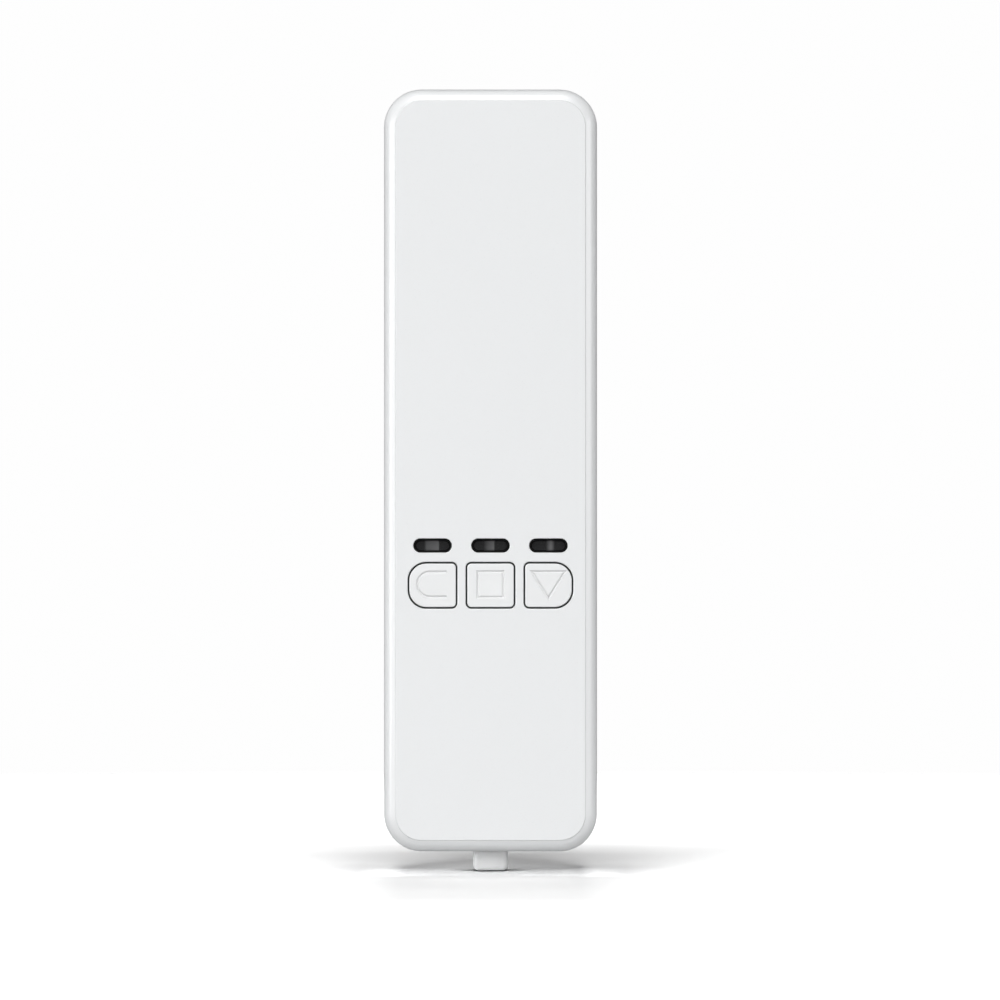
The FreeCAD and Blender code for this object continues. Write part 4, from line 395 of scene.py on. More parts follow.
def metal(name, *colours, rough=(0.22, 0.4), stretch=(1, 1, 60), scale=900.0, depth=1.5e-6):
    lines = (toolGroup, {"Stretch": stretch, "Scale": scale, "Depth": depth})
    return coated(name, colours, (120.0, 0.6), lines, rough, 1.15, {"Metallic": 1.0})


def circuitBoard(name, mask, copper):  # solder mask over copper runs, with plated holes
    runWide, holeWide, relief = 0.09, 0.13, 2e-5
    material, tree, shader, where = startFinish(name)
    cells = add(tree, "TexVoronoi", feature="DISTANCE_TO_EDGE", Vector=where, Scale=420.0,
                Randomness=0.35)
    dots = add(tree, "TexVoronoi", Vector=where, Scale=260.0, Randomness=0.9)
    run = maths(tree, "LESS_THAN", cells.outputs["Distance"], runWide)
    hole = maths(tree, "LESS_THAN", dots.outputs["Distance"], holeWide)
    tone = placed(tree, driftGroup, where, Colour=rgba(mask), Second=scaled(mask, 0.7), Scale=60.0)
    traced = mixed(tree, run, tone["Colour"], scaled(mask, 1.7))
    feed(tree, shader["Base Color"], mixed(tree, hole, traced, rgba(copper)))
    height = maths(tree, "SUBTRACT", run, hole)
    bump = add(tree, "Bump", Strength=1.0, Distance=relief, Height=height)
    feed(tree, shader["Normal"], bump.outputs["Normal"])
    feed(tree, shader["Roughness"], ranged(tree, hole, 0.3, 0.22))
    feed(tree, shader["Metallic"], hole)
    return material


def lens(name, dark, light, middle, paintedBand):  # smoked light pipe: dark resin with a lighter band, partly the paler pipe inside it and partly painted light set for each window
    reach = 4.0
    material, tree, shader, where = startFinish(name)
    split = add(tree, "SeparateXYZ", where)
    across = maths(tree, "SUBTRACT", split.outputs["X"], middle * mm)
    stops = [(place, [a + (b - a) * share for a, b in zip(dark, light)]) for place, share in paintedBand]
    skin = placed(tree, grainGroup, where, Grain=1500.0, Depth=4e-7)
    feed(tree, shader["Base Color"], graded(tree, across, (-reach, reach), stops))
    feed(tree, shader["Normal"], skin["Normal"])
    feed(tree, shader["Roughness"], ranged(tree, skin["Mask"], 0.1, 0.2))
    shader["Coat Weight"].default_value = 0.35
    return material


def sleeve(name, skin, shade, bare, ends):  # shrunk sleeve round a cell, bare metal at its ends
    material, tree, shader, where = startFinish(name)
    height = add(tree, "SeparateXYZ", where).outputs["Z"]
    low, high = metres(ends)
    wrapped = product(tree, maths(tree, "GREATER_THAN", height, low), maths(tree, "LESS_THAN", height, high))
    tone = placed(tree, driftGroup, where, Colour=rgba(skin), Second=rgba(shade), Scale=14.0, Amount=0.5)
    folds = placed(tree, toolGroup, where, Stretch=(1, 1, 18), Scale=420.0, Depth=8e-6)
    feed(tree, shader["Base Color"], mixed(tree, wrapped, rgba(bare), tone["Colour"]))
    feed(tree, shader["Normal"], folds["Normal"])
    feed(tree, shader["Roughness"], ranged(tree, folds["Mask"], 0.24, 0.4))
    feed(tree, shader["Metallic"], maths(tree, "SUBTRACT", 1.0, wrapped))
    return material


# the lighter band, partly painted light, of the lens finish that the carried windows get
plainPaintedLightBand = ((-1.6, 0.0), (-1.2, 0.75), (1.1, 1.0), (1.5, 0.0))
finishes = {
    "casing": plastic("casingWhite", (0.86, 0.872, 0.88), (0.835, 0.845, 0.85), rough=(0.24, 0.34),
                      depth=1.6e-6),
    "keys": plastic("keyWhite", (0.865, 0.875, 0.88), (0.84, 0.85, 0.855), rough=(0.32, 0.42), grain=5200.0,
                    depth=1.4e-6),
    # lighter than the casing white: painted light that offsets the shade under the casing
    "tab": plastic("tabWhite", (0.90, 0.905, 0.91), (0.87, 0.875, 0.88), rough=(0.26, 0.38), depth=1.2e-6),
    "bracket": plastic("bracketNylon", (0.80, 0.80, 0.79), (0.76, 0.76, 0.75), rough=(0.42, 0.56),
                       grain=2600.0, depth=5e-6),
    "window": lens("windowSmoked", (0.028, 0.028, 0.03), (0.11, 0.11, 0.115), 0.0, plainPaintedLightBand),
    "inner_plastic": plastic("glassFilledBlack", (0.045, 0.045, 0.048), (0.07, 0.07, 0.072),
                             rough=(0.42, 0.6), grain=2200.0, depth=7e-6),
    "gear_plastic": plastic("acetalNatural", (0.80, 0.79, 0.74), (0.74, 0.73, 0.67), rough=(0.24, 0.36),
                            depth=1.4e-6, Subsurface_Weight=0.08, Subsurface_Scale=0.001),
    "board": circuitBoard("solderMask", (0.03, 0.17, 0.075), (0.75, 0.55, 0.25)),
    "chip": plastic("epoxyPackage", (0.035, 0.035, 0.038), (0.05, 0.05, 0.052), rough=(0.5, 0.66),
                    grain=3600.0, depth=4e-6),
    "shield": metal("tinnedSheet", (0.70, 0.70, 0.71), (0.62, 0.62, 0.64), stretch=(50, 1, 1)),
    "led": plastic("ledResin", (0.88, 0.84, 0.62), (0.82, 0.78, 0.55), rough=(0.12, 0.2), depth=6e-7,
                   Transmission_Weight=0.3),
    "steel": metal("groundSteel", (0.56, 0.565, 0.575), (0.48, 0.485, 0.5)),
    "screw": metal("zincPlate", (0.58, 0.59, 0.61), (0.47, 0.48, 0.5), rough=(0.26, 0.44),
                   stretch=(1, 1, 4), scale=1400.0),
    "spring_steel": metal("springSteel", (0.42, 0.42, 0.43), (0.34, 0.33, 0.32), rough=(0.28, 0.42)),
    "brass": metal("turnedBrass", (0.80, 0.60, 0.28), (0.70, 0.50, 0.22), stretch=(1, 1, 0.05), scale=500.0),
    "nickel": metal("nickelStrip", (0.68, 0.66, 0.60), (0.6, 0.58, 0.53), stretch=(40, 1, 1)),
    "cell": sleeve("cellSleeve", (0.045, 0.13, 0.36), (0.03, 0.09, 0.28), (0.72, 0.71, 0.68), (-43.6, 18.6)),
    "magnet": metal("platedMagnet", (0.52, 0.52, 0.54), (0.44, 0.44, 0.46), rough=(0.12, 0.22),
                    stretch=(1, 1, 1)),
    "black_plastic": plastic("blackMoulding", (0.028, 0.028, 0.03), (0.045, 0.045, 0.047),
                             rough=(0.34, 0.5), depth=3e-6),
    "rubber": plastic("softRubber", (0.03, 0.03, 0.03), (0.05, 0.05, 0.05), rough=(0.68, 0.85),
                      grain=1500.0, depth=2e-5),
    "red_wire": plastic("redInsulation", (0.50, 0.03, 0.025), (0.42, 0.02, 0.02), rough=(0.34, 0.46)),
    "black_wire": plastic("blackInsulation", (0.02, 0.02, 0.02), (0.035, 0.035, 0.035), rough=(0.34, 0.46)),
    "ceramic": plastic("ceramicBody", (0.33, 0.24, 0.15), (0.22, 0.16, 0.10), rough=(0.4, 0.55),
                       drift=(900.0, 1.0)),
    "ribbon": plastic("amberFilm", (0.62, 0.33, 0.05), (0.5, 0.25, 0.03), rough=(0.14, 0.24), depth=6e-7),
}
# near-black and less shiny than the other black mouldings: partly the bezel's own black and partly painted
# shade for the recess round each window
bezelBlack = plastic("bezelBlack", (0.004, 0.004, 0.004), (0.006, 0.006, 0.006), rough=(0.4, 0.5),
                     depth=1.5e-6, Specular_IOR_Level=0.25)
# painted shade: a dark grey for faces deep in the gaps round the keys, standing in for their shadow
gapShade = plastic("gapShade", (0.16, 0.16, 0.165), (0.13, 0.13, 0.135), rough=(0.5, 0.6), depth=1.6e-6)
# painted shade: a darker white for the faces inside the symbol grooves, standing in for the shade in them
grooveShade = plastic("grooveShade", (0.76, 0.765, 0.77), (0.73, 0.735, 0.74), rough=(0.45, 0.55),
                      depth=1.6e-6)
print("finishes mixed:", len(finishes))

# Mesh tools

quarter = math.pi / 2
doubles = 2e-6  # points closer than this, in metres, are one


def evaluated(obj):  # the mesh with its modifiers worked in; the object itself goes
    graph = bpy.context.evaluated_depsgraph_get()
    mesh = bpy.data.meshes.new_from_object(obj.evaluated_get(graph), depsgraph=graph)
    obj.modifiers.clear()
    bpy.data.objects.remove(obj)
    return mesh


def settled(mesh, kind, **settings):  # a plain mesh with one modifier worked in
    obj = shown("scratch", mesh)
    modifier = obj.modifiers.new(kind, kind)
    for key, value in settings.items():
        setattr(modifier, key, value)
    return evaluated(obj)


def keep(name, mesh, degrees, slot, body, replaced=(), material=None, dressed=False):
    if degrees:
        smooth(mesh, degrees)
    mesh = settled(mesh, "WEIGHTED_NORMAL", keep_sharp=True, weight=100)
    mesh.name = name
    obj = shown(name, mesh)
    if not dressed:
        mesh.materials.clear()
        mesh.materials.append(material or finishes[slot])
    if replaced:
        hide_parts(*replaced)
    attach(obj, body)
    return obj


def smooth(mesh, degrees):
    for face in mesh.polygons:
        face.use_smooth = True
    work = bmesh.new()
    work.from_mesh(mesh)
    limit = math.radians(degrees)
    for edge in work.edges:
        edge.smooth = len(edge.link_faces) == 2 and edge.calc_face_angle(0) < limit
    work.to_mesh(mesh)
    work.free()


def written(work, name):  # a new mesh from a bmesh, which is then freed
    mesh = bpy.data.meshes.new(name)
    work.to_mesh(mesh)
    work.free()
    return mesh


def roundedOutline(left, right, low, high, rounds, steps=12):  # anticlockwise from the lower left corner
    corners = [(left, low, 1, 1), (right, low, -1, 1), (right, high, -1, -1), (left, high, 1, -1)]
    points = []
    for index, ((x, z, wayX, wayZ), radius) in enumerate(zip(corners, rounds)):
        start = math.pi * (1 + index / 2)
        for step in range(steps + 1):
            turn = start + quarter * step / steps
            across, up = wayX * radius + radius * math.cos(turn), wayZ * radius + radius * math.sin(turn)
            points.append((x + across, z + up))
    return points


def quarterRound(size, steps):  # inset and depth along a rounded edge, from its side to its top
    turns = [quarter * step / steps for step in range(steps + 1)]
    return [(size * (1 - math.cos(turn)), size * (1 - math.sin(turn))) for turn in turns]


def lofted(rings, closed=True):  # a skin through rings, each an outline in X and Z with its place on Y
    work = bmesh.new()
    loops = [[work.verts.new(metres((x, y, z))) for x, z in outline] for outline, y in rings]
    for near, far in zip(loops, loops[1:]):
        for index in range(len(near)):
            after = (index + 1) % len(near)
            work.faces.new((near[index], near[after], far[after], far[index]))
    if closed:
        work.faces.new(loops[0])
        work.faces.new(loops[-1][::-1])
    bmesh.ops.recalc_face_normals(work, faces=work.faces)
    return written(work, "loft")


def combined(meshes):
    work = bmesh.new()
    for mesh in meshes:
        work.from_mesh(mesh)
    return written(work, "combined")


def cut(mesh, tools, operation="DIFFERENCE"):
    tool = shown("tool", combined(tools))
    crossed = operation == "DIFFERENCE"
    result = settled(mesh, "BOOLEAN", object=tool, operation=operation, solver="EXACT", use_self=crossed)
    bpy.data.objects.remove(tool)
    return result


def tidied(mesh, flat):  # doubles merged and coplanar faces joined, so that a bevel finds clean edges
    work = bmesh.new()
    work.from_mesh(mesh)
    bmesh.ops.remove_doubles(work, verts=work.verts, dist=doubles)
    bmesh.ops.dissolve_degenerate(work, edges=work.edges, dist=doubles)
    bmesh.ops.dissolve_limit(work, angle_limit=math.radians(flat), verts=work.verts, edges=work.edges)
    return written(work, "tidied")


def tube(spot, outer, inner, low, high, sides=32):  # round along Y, solid where there is no inner radius
    x, z = spot

    def ring(radius):
        turns = [2 * math.pi * k / sides for k in range(sides)]
        return [(x + radius * math.cos(turn), z + radius * math.sin(turn)) for turn in turns]

    if not inner:
        return lofted([(ring(outer), low), (ring(outer), high)])
    walls = ((inner, low), (outer, low), (outer, high), (inner, high), (inner, low))
    return lofted([(ring(radius), y) for radius, y in walls], False)


def painted(obj, material, picked):  # the faces whose centre in mm is picked take one more material
    obj.data.materials.append(material)
    last = len(obj.data.materials) - 1
    for face in obj.data.polygons:
        if picked(*(face.center / mm)):
            face.material_index = last


# Front shell: a flat face that breaks crisply into a deep rounded rim

shell = {
    "half": 22.0, "low": -54.0, "high": 103.4, "round": 7.8, "face": -42.0, "seam": -30.0,
    "seamGroove": 0.35, "seamSteps": (0.25, 0.55), "wall": 2.2, "faceWall": 2.3, "overcut": 1.0,
    "rimRadius": 2.95, "rimStart": 10.0, "rimSteps": 10, "crease": 0.12, "creaseDeep": 0.24,
    "creaseSteps": ((-1.0, 1.0), (-0.3, 0.5), (0.3, 0.12), (1.6, 0.0)),
    "cornerSteps": 20, "postFront": -39.9,
    "posts": (  # outer and inner radius, rear end, places
        (2.6, 1.13, -31.3, ((-16.5, -48.4), (16.5, -48.4), (-16.8, 98.2), (16.8, 98.2))),
        (2.0, 0.73, -36.0, ((-15.5, -41.0), (15.5, -41.0), (-15.5, 17.0), (15.5, 17.0))),
        (1.6, 0.0, -32.9, ((-12.4, 95.3), (12.4, 95.3), (14.2, 57.4), (-14.4, 62.0))),
    ),
    "portHalf": 4.7, "portFront": -35.05, "portRear": -31.35, "portRound": 1.85,
    "portLow": -56.5, "portHigh": -50.5,
}
keys = {
    "pitch": 11.95, "middle": 1.0, "wide": 9.58, "tall": 8.96, "gap": 0.34, "outerRound": 3.5,
    "innerRound": 0.85, "edge": 0.22,
    "capSide": 0.02,  # how much smaller the cap is than its nominal outline
    "flare": (1.5, 0.28), "flange": 0.6, "flangeFront": -39.65, "flangeRear": -38.9,
    "flangeInto": 0.01,  # overlaps that join the flange and the stem to the cap
    "stemInto": 0.2, "stemRear": -38.4, "stem": 1.3, "grooveWide": 0.68, "grooveDeep": 0.22,
    "grooveFlat": 0.12, "grooveMargin": 0.6, "grooveZone": (0.02, 0.4), "glyph": 5.25,
    "glyphUp": 0.18, "arc": 0.975, "arcBack": 0.57, "arcReach": 2.9, "pointHalf": 3.4,
    "pointDown": 0.22,
}
windows = {
    "middle": 9.2, "wide": 7.84, "tall": 2.78, "gap": 0.05, "flare": (1.2, 0.25), "bezel": 0.30,
    "bezelBack": 0.42, "bezelEdges": (0.05, 0.04), "lensBack": 0.85, "lensEdge": 0.22,
    "lensDome": 1.4, "lensGap": 0.02, "flange": 0.7, "flangeFront": -39.65, "flangeRear": -39.0,
    "throat": 0.3, "dark": (0.018, 0.018, 0.019), "light": (0.115, 0.115, 0.118),
    "bands": {  # where the lighter band, partly painted light, starts, is full and ends
        "left": ((-1.7, 0.0), (-1.2, 0.7), (1.2, 1.0), (1.45, 0.0)),
        "middle": ((-1.4, 0.0), (-0.5, 0.6), (0.65, 1.0), (0.9, 0.0)),
        "right": ((-0.5, 0.0), (0.35, 1.1), (0.6, 1.1), (1.3, 0.0)),
    },
}
# where faces deep in a gap take the painted gap shade
gapShadeZone = {"half": 18.5, "low": -6.0, "high": 12.0, "below": 0.04}


def casingOutline(inset):
    s = shell
    rounds = [max(s["round"] - inset, 0.4)] * 4
    sides = (-s["half"] + inset, s["half"] - inset, s["low"] + inset, s["high"] - inset)
    return roundedOutline(*sides, rounds, s["cornerSteps"])


def centred(piece, index, over):  # the sides of a key or window, grown by over
    x, half, high = (index - 1) * keys["pitch"], piece["wide"] / 2 + over, piece["tall"] / 2 + over
    return x - half, x + half, piece["middle"] - high, piece["middle"] + high


def keyOutline(index, over):
    outer, inner = (max(keys[name] + over, 0.05) for name in ("outerRound", "innerRound"))
    rounds = {0: [outer, inner, inner, outer], 1: [inner] * 4, 2: [inner, outer, outer, inner]}[index]
    return roundedOutline(*centred(keys, index, over), rounds, 14)


def windowOutline(index, over):
    return roundedOutline(*centred(windows, index, over), [windows["tall"] / 2 + over] * 4, 14)


def mouth(outline, index, piece):  # cutter for an opening in the face with a softened edge
    lead, gap, (flare, bend) = keys["edge"], piece["gap"], piece["flare"]
    profile = ((gap + lead * flare, -0.5 * lead), (gap + lead * bend, lead * bend), (gap, lead),
               (gap, shell["faceWall"] + shell["overcut"]))
    return lofted([(outline(index, over), shell["face"] + deep) for over, deep in profile])


def paintGapShade(obj):  # faces below the mouth of a gap take a darker material: painted shade for the shadow deep in the gap
    g, start = gapShadeZone, shell["face"] + keys["edge"] + gapShadeZone["below"]
    painted(obj, gapShade, lambda x, y, z: abs(x) < g["half"] and g["low"] < z < g["high"] and y > start)


def buildFrontShell():
    s = shell
    start, rim, face = math.radians(s["rimStart"]), s["rimRadius"], s["face"]
    floorOfGroove, edgeOfGroove = (s["seam"] - step for step in s["seamSteps"])
    profile = [(s["seamGroove"], s["seam"]), (s["seamGroove"], floorOfGroove), (0.0, edgeOfGroove)]
    for step in range(s["rimSteps"]):
        turn = quarter - (quarter - start) * step / s["rimSteps"]
        drop = rim * (math.cos(start) - math.cos(turn))
        profile.append((rim * (1 - math.sin(turn)), face + s["creaseDeep"] + drop))
    inset = rim * (1 - math.sin(start))
    for across, share in s["creaseSteps"]:
        profile.append((inset + across * s["crease"], face + share * s["creaseDeep"]))
    skin = lofted([(casingOutline(inset), y) for inset, y in profile])
    inside = casingOutline(s["wall"])
    mesh = cut(skin, [lofted([(inside, face + s["faceWall"]), (inside, s["seam"] + s["overcut"])])])
    posts = []
    for outer, inner, rear, spots in s["posts"]:
        posts += [tube(spot, outer, inner, s["postFront"], rear) for spot in spots]
    mesh = cut(mesh, posts, "UNION")
    tools = []
    for index in range(3):
        tools += [mouth(keyOutline, index, keys), mouth(windowOutline, index, windows)]
    half = s["portHalf"]
    outline = roundedOutline(-half, half, s["portFront"], s["portRear"], [s["portRound"]] * 4)
    port = lofted([(outline, s["portLow"]), (outline, s["portHigh"])])
    port.transform(Matrix(((1, 0, 0, 0), (0, 0, 1, 0), (0, 1, 0, 0), (0, 0, 0, 1))))  # Y and Z change places
    port.flip_normals()
    mesh = tidied(cut(mesh, tools + [port]), 0.2)
    paintGapShade(keep("frontShell", mesh, 26, "casing", "driver", ["front_shell"]))


buildFrontShell()
print("front shell built")

# Keys: shallow caps with the symbol pressed in as a fine V groove


def grooveTool(path, closed, width, deep):  # a V-shaped cutter that follows a path in the face plane
    half, flat = width / 2, keys["grooveFlat"] * width / 2
    section = [(-1.5 * half, -0.6 * deep), (-half, 0.0), (-flat, deep), (flat, deep), (half, 0.0),
               (1.5 * half, -0.6 * deep)]
    work, count, rings = bmesh.new(), len(path), []
    for index, (x, z) in enumerate(path):
        before = path[index - 1] if closed or index else path[index]
        after = path[(index + 1) % count] if closed or index < count - 1 else path[index]
        into, out = Vector((x - before[0], z - before[1])), Vector((after[0] - x, after[1] - z))
        into = into if into.length else out
        out = out if out.length else into
        into.normalize()
        out.normalize()
        mean = (into + out).normalized()
        side = Vector((-mean.y, mean.x)) / max(0.35, mean.dot(into))
        spots = [(x + side.x * u, shell["face"] + v, z + side.y * u) for u, v in section]
        rings.append([work.verts.new(metres(spot)) for spot in spots])
    for index in range(count if closed else count - 1):
        one, other = rings[index], rings[(index + 1) % count]
        for k in range(6):
            work.faces.new((one[k], one[(k + 1) % 6], other[(k + 1) % 6], other[k]))
    if not closed:
        work.faces.new(rings[0][::-1])
        work.faces.new(rings[-1])
    bmesh.ops.recalc_face_normals(work, faces=work.faces)
    return written(work, "groove")


def glyphPath(index):
    k = keys
    x, z, half = (index - 1) * k["pitch"], k["middle"] + k["glyphUp"], k["glyph"] / 2
    if index == 0:  # open: a U lying on its side
        radius, end = half * k["arc"], x + k["arcReach"]
        turns = [quarter + math.pi * step / 24 for step in range(25)]
        arc = [(x - k["arcBack"] + radius * math.cos(turn), z + radius * math.sin(turn)) for turn in turns]
        return [(end, z + radius)] + arc + [(end, z - radius)], False
    if index == 1:  # stop: a square
        return [(x - half, z - half), (x + half, z - half), (x + half, z + half), (x - half, z + half)], True
    side, tip = k["pointHalf"], z - half - k["pointDown"]
    return [(x - side, z + half), (x, tip), (x + side, z + half)], True  # close: a triangle


def buildKey(index, name):
    k, face = keys, shell["face"]
    x, side = (index - 1) * k["pitch"], k["capSide"]
    rings = [(keyOutline(index, -side), k["flangeFront"])]
    rings += [(keyOutline(index, -inset), face + deep) for inset, deep in quarterRound(k["edge"], 5)]
    wide = keyOutline(index, k["flange"])
    flange = lofted([(wide, k["flangeFront"] - k["flangeInto"]), (wide, k["flangeRear"])])
    stem = tube((x, k["middle"]), k["stem"], 0, k["flangeRear"] - k["stemInto"], k["stemRear"])
    cap = cut(cut(lofted(rings), [flange], "UNION"), [stem], "UNION")
    path, closed = glyphPath(index)
    cap = tidied(cut(cap, [grooveTool(path, closed, k["grooveWide"], k["grooveDeep"])]), 0.2)
    piece = keep("key_" + name, cap, 24, "keys", "key_" + name, ["button_" + name])
    paintGapShade(piece)
    half, high = k["wide"] / 2 - k["grooveMargin"], k["tall"] / 2 - k["grooveMargin"]
    top, bottom = (face + deep for deep in k["grooveZone"])

    def inGroove(spotX, y, z):
        return top < y < bottom and abs(spotX - x) < half and abs(z - k["middle"]) < high

    # painted shade: the faces inside the groove take the darker white
    painted(piece, grooveShade, inGroove)


for index, name in enumerate(("up", "stop", "down")):
    buildKey(index, name)
print("keys built")

# Indicator windows: a black bezel sunk in the face, with a smoked capsule deeper inside it


def buildWindow(index, name):
    w, inner = windows, -windows["bezel"]
    back, (soft, crisp) = shell["face"] + w["bezelBack"], w["bezelEdges"]
    front, rear = w["flangeFront"], w["flangeRear"]
    profile = [
        (w["flange"], rear), (w["flange"], front), (0.0, front), (0.0, back + soft), (-soft, back),
        (inner + crisp, back), (inner, back + crisp), (inner, rear - w["throat"]), (inner, rear),
        (w["flange"], rear)]
    bezel = lofted([(windowOutline(index, over), y) for over, y in profile], False)
    keep("bezel_" + name, bezel, 30, "black_plastic", "driver", material=bezelBlack)
    level, side = shell["face"] + w["lensBack"], inner - w["lensGap"]
    profile = [(side - inset * w["lensDome"], level + deep) for inset, deep in quarterRound(w["lensEdge"], 6)]
    pipe = lofted([(windowOutline(index, over), y) for over, y in [(side, rear)] + profile])
    middle = (index - 1) * keys["pitch"]
    # each window's lens gets its own lighter band, partly painted light
    smoked = lens("windowSmoked_" + name, w["dark"], w["light"], middle, w["bands"][name])
    keep("lens_" + name, pipe, 50, "window", "driver", ["window_" + name], smoked)


for index, name in enumerate(windows["bands"]):
    buildWindow(index, name)
print("windows built")

# Pieces whose CAD form is right get soft edges; the rest keep their meshes and get a finish

soft = {
    "rear_shell": 0.12, "chain_cover": 0.18, "wall_bracket": 0.25, "release_slider": 0.35,
    "sprocket": 0.12, "gearbox_case": 0.1, "gearbox_lid": 0.1, "battery_tray": 0.1,
    "motor_can": 0.25,
}
bevel = {"segments": 3, "limit_method": "ANGLE", "angle_limit": math.radians(38)}
flatLimit = 0.6  # degrees between faces that count as one
tab = {
    "half": 3.66, "front": -12.9, "rear": -8.2, "low": -59.3, "top": -54.2, "round": 1.15,
    "edge": 0.95, "rearEdge": 0.3,
    "roof": 0.6,  # how far the block reaches above top
    "roomHalf": 5.0,  # the room that is cleared for the block
    "roomMore": 1.0, "roomTop": 0.3, "lipGap": 0.14, "lipWide": 0.5, "lipLow": -55.2,
    "lipTop": -53.6, "lipInset": 0.2,
}
ramp = {
    "in": 3.9, "out": 5.9, "top": -23.2, "low": -25.1, "shallow": -8.46, "deep": -9.95,
    "front": -10.6,
}
flexed = {  # axis, anchor in mm and the length that is left when the tab is pushed up
    "release_spring": ((0, 0, 1), (0, -9.8, -29.0), 0.727),
    "detent_leaf": ((0, 0.989, -0.15), (0, -8.6, -7.6), 0.5),
}


def roundedTab(slider):  # the part under the casing becomes a pebble-edged block on the rest
    t = tab
    half, more = t["roomHalf"], t["roomMore"]
    room = roundedOutline(-half, half, t["low"] - more, t["top"] + t["roomTop"], [0.1] * 4, 2)
    rest = cut(slider, [lofted([(room, t["front"] - more), (room, t["rear"] + more)])])

    def outline(inset):
        low = max(t["round"] - inset * 0.5, 0.3)
        sides = (-t["half"] + inset, t["half"] - inset, t["low"] + inset, t["top"] + t["roof"])
        return roundedOutline(*sides, [low, low, 0.05, 0.05], 10)

    rings = [(outline(inset), t["front"] + deep) for deep, inset in quarterRound(t["edge"], 8)]
    rings += [(outline(inset), t["rear"] - deep) for inset, deep in quarterRound(t["rearEdge"], 4)]
    return cut(rest, [lofted(rings)], "UNION")


def rampedArms(slider):  # each arm gets the slope that presses the leaf's ears off the bracket
    r, wedges = ramp, []
    for left, right in ((r["in"], r["out"]), (-r["out"], -r["in"])):
        full = roundedOutline(left, right, r["low"], r["top"], [0.02] * 4, 2)
        edge = roundedOutline(left, right, r["top"] - 0.05, r["top"], [0.02] * 4, 2)
        wedges.append(lofted([(full, r["front"]), (full, r["deep"]), (edge, r["shallow"])]))
    return cut(slider, wedges)


def tabLips():  # black lips beside the tab, just below the casing: painted shade, dark pieces standing in for the shade at the tab's sides
    t, lips = tab, []
    for side in (-1, 1):
        near = t["half"] + t["lipGap"]
        left, right = sorted((side * near, side * (near + t["lipWide"])))
        outline = roundedOutline(left, right, t["lipLow"], t["lipTop"], [0.2, 0.2, 0.05, 0.05], 6)
        lips.append(lofted([(outline, t["front"] + t["lipInset"]), (outline, t["rear"] - t["lipInset"])]))
    keep("tabLips", combined(lips), 40, "black_plastic", "driver")


def standIn(prefix, node, mesh, degrees):  # the mesh takes the place of the node's own
    return keep(prefix + node, mesh, degrees, slotOf[node], bodyOf[node], [node])


for node, width in soft.items():
    mesh = settled(tidied(nodes[node].data, flatLimit), "BEVEL", width=width * mm, **bevel)
    if node == "release_slider":
        mesh = rampedArms(roundedTab(mesh))
    standIn("soft_", node, mesh, 30)
tabLips()
for node, (axis, anchor, share) in flexed.items():
    piece = standIn("flexed_", node, tidied(nodes[node].data, flatLimit), 40)
    metres(anchor)
    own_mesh(piece)
print("soft pieces made")

# Geometry Nodes: screws with a driven recess and a rolled thread


def form(tree, kind, **settings):
    return add(tree, "GeometryNode" + kind, **settings).outputs[0]


def joined(tree, pieces):
    node = tree.nodes.new("GeometryNodeJoinGeometry")
    for piece in pieces:
        tree.links.new(piece, node.inputs[0])
    return node.outputs[0]


def shifted(tree, geometry, **offset):
    spot = add(tree, "CombineXYZ", **offset).outputs[0]
    return form(tree, "Transform", Geometry=geometry, Translation=spot)


def stamped(tree, points, piece, **turn):  # a real copy of the piece at each point
    copies = form(tree, "InstanceOnPoints", Points=points, Instance=piece, **turn)
    return form(tree, "RealizeInstances", Geometry=copies)


def withMaterial(tree, geometry, material):
    return form(tree, "SetMaterial", Geometry=geometry, Material=material)


def formGroup(name, inputs):
    inputs = {"Geometry": "Geometry", **inputs}
    return newGroup(name, inputs, {"Geometry": "Geometry"}, "GeometryNodeTree")


def grownFrom(tree, points, values):  # the plain mesh that a tree makes from a list of points in mm
    mesh = bpy.data.meshes.new("points")
    mesh.from_pydata([metres(point) for point in points], [], [])
    obj = shown("scratch", mesh)
    modifier = obj.modifiers.new("grow", "NODES")
    modifier.node_group = tree
    for item in tree.interface.items_tree:
        if item.item_type == "SOCKET" and item.in_out == "INPUT" and item.name in values:
            modifier[item.identifier] = values[item.name]
    obj.update_tag()
    return evaluated(obj)


screwShares = {  # of the head's radius and height, and of the shank's radius and length
    "top": 0.74, "skirt": 0.6, "dome": 0.4, "blade": 1.15, "wing": 0.26, "sink": 1.1,
    "core": 0.84, "tip": 0.5, "straight": 0.9, "crest": 0.9, "ridge": 0.1, "threaded": 0.82,
}


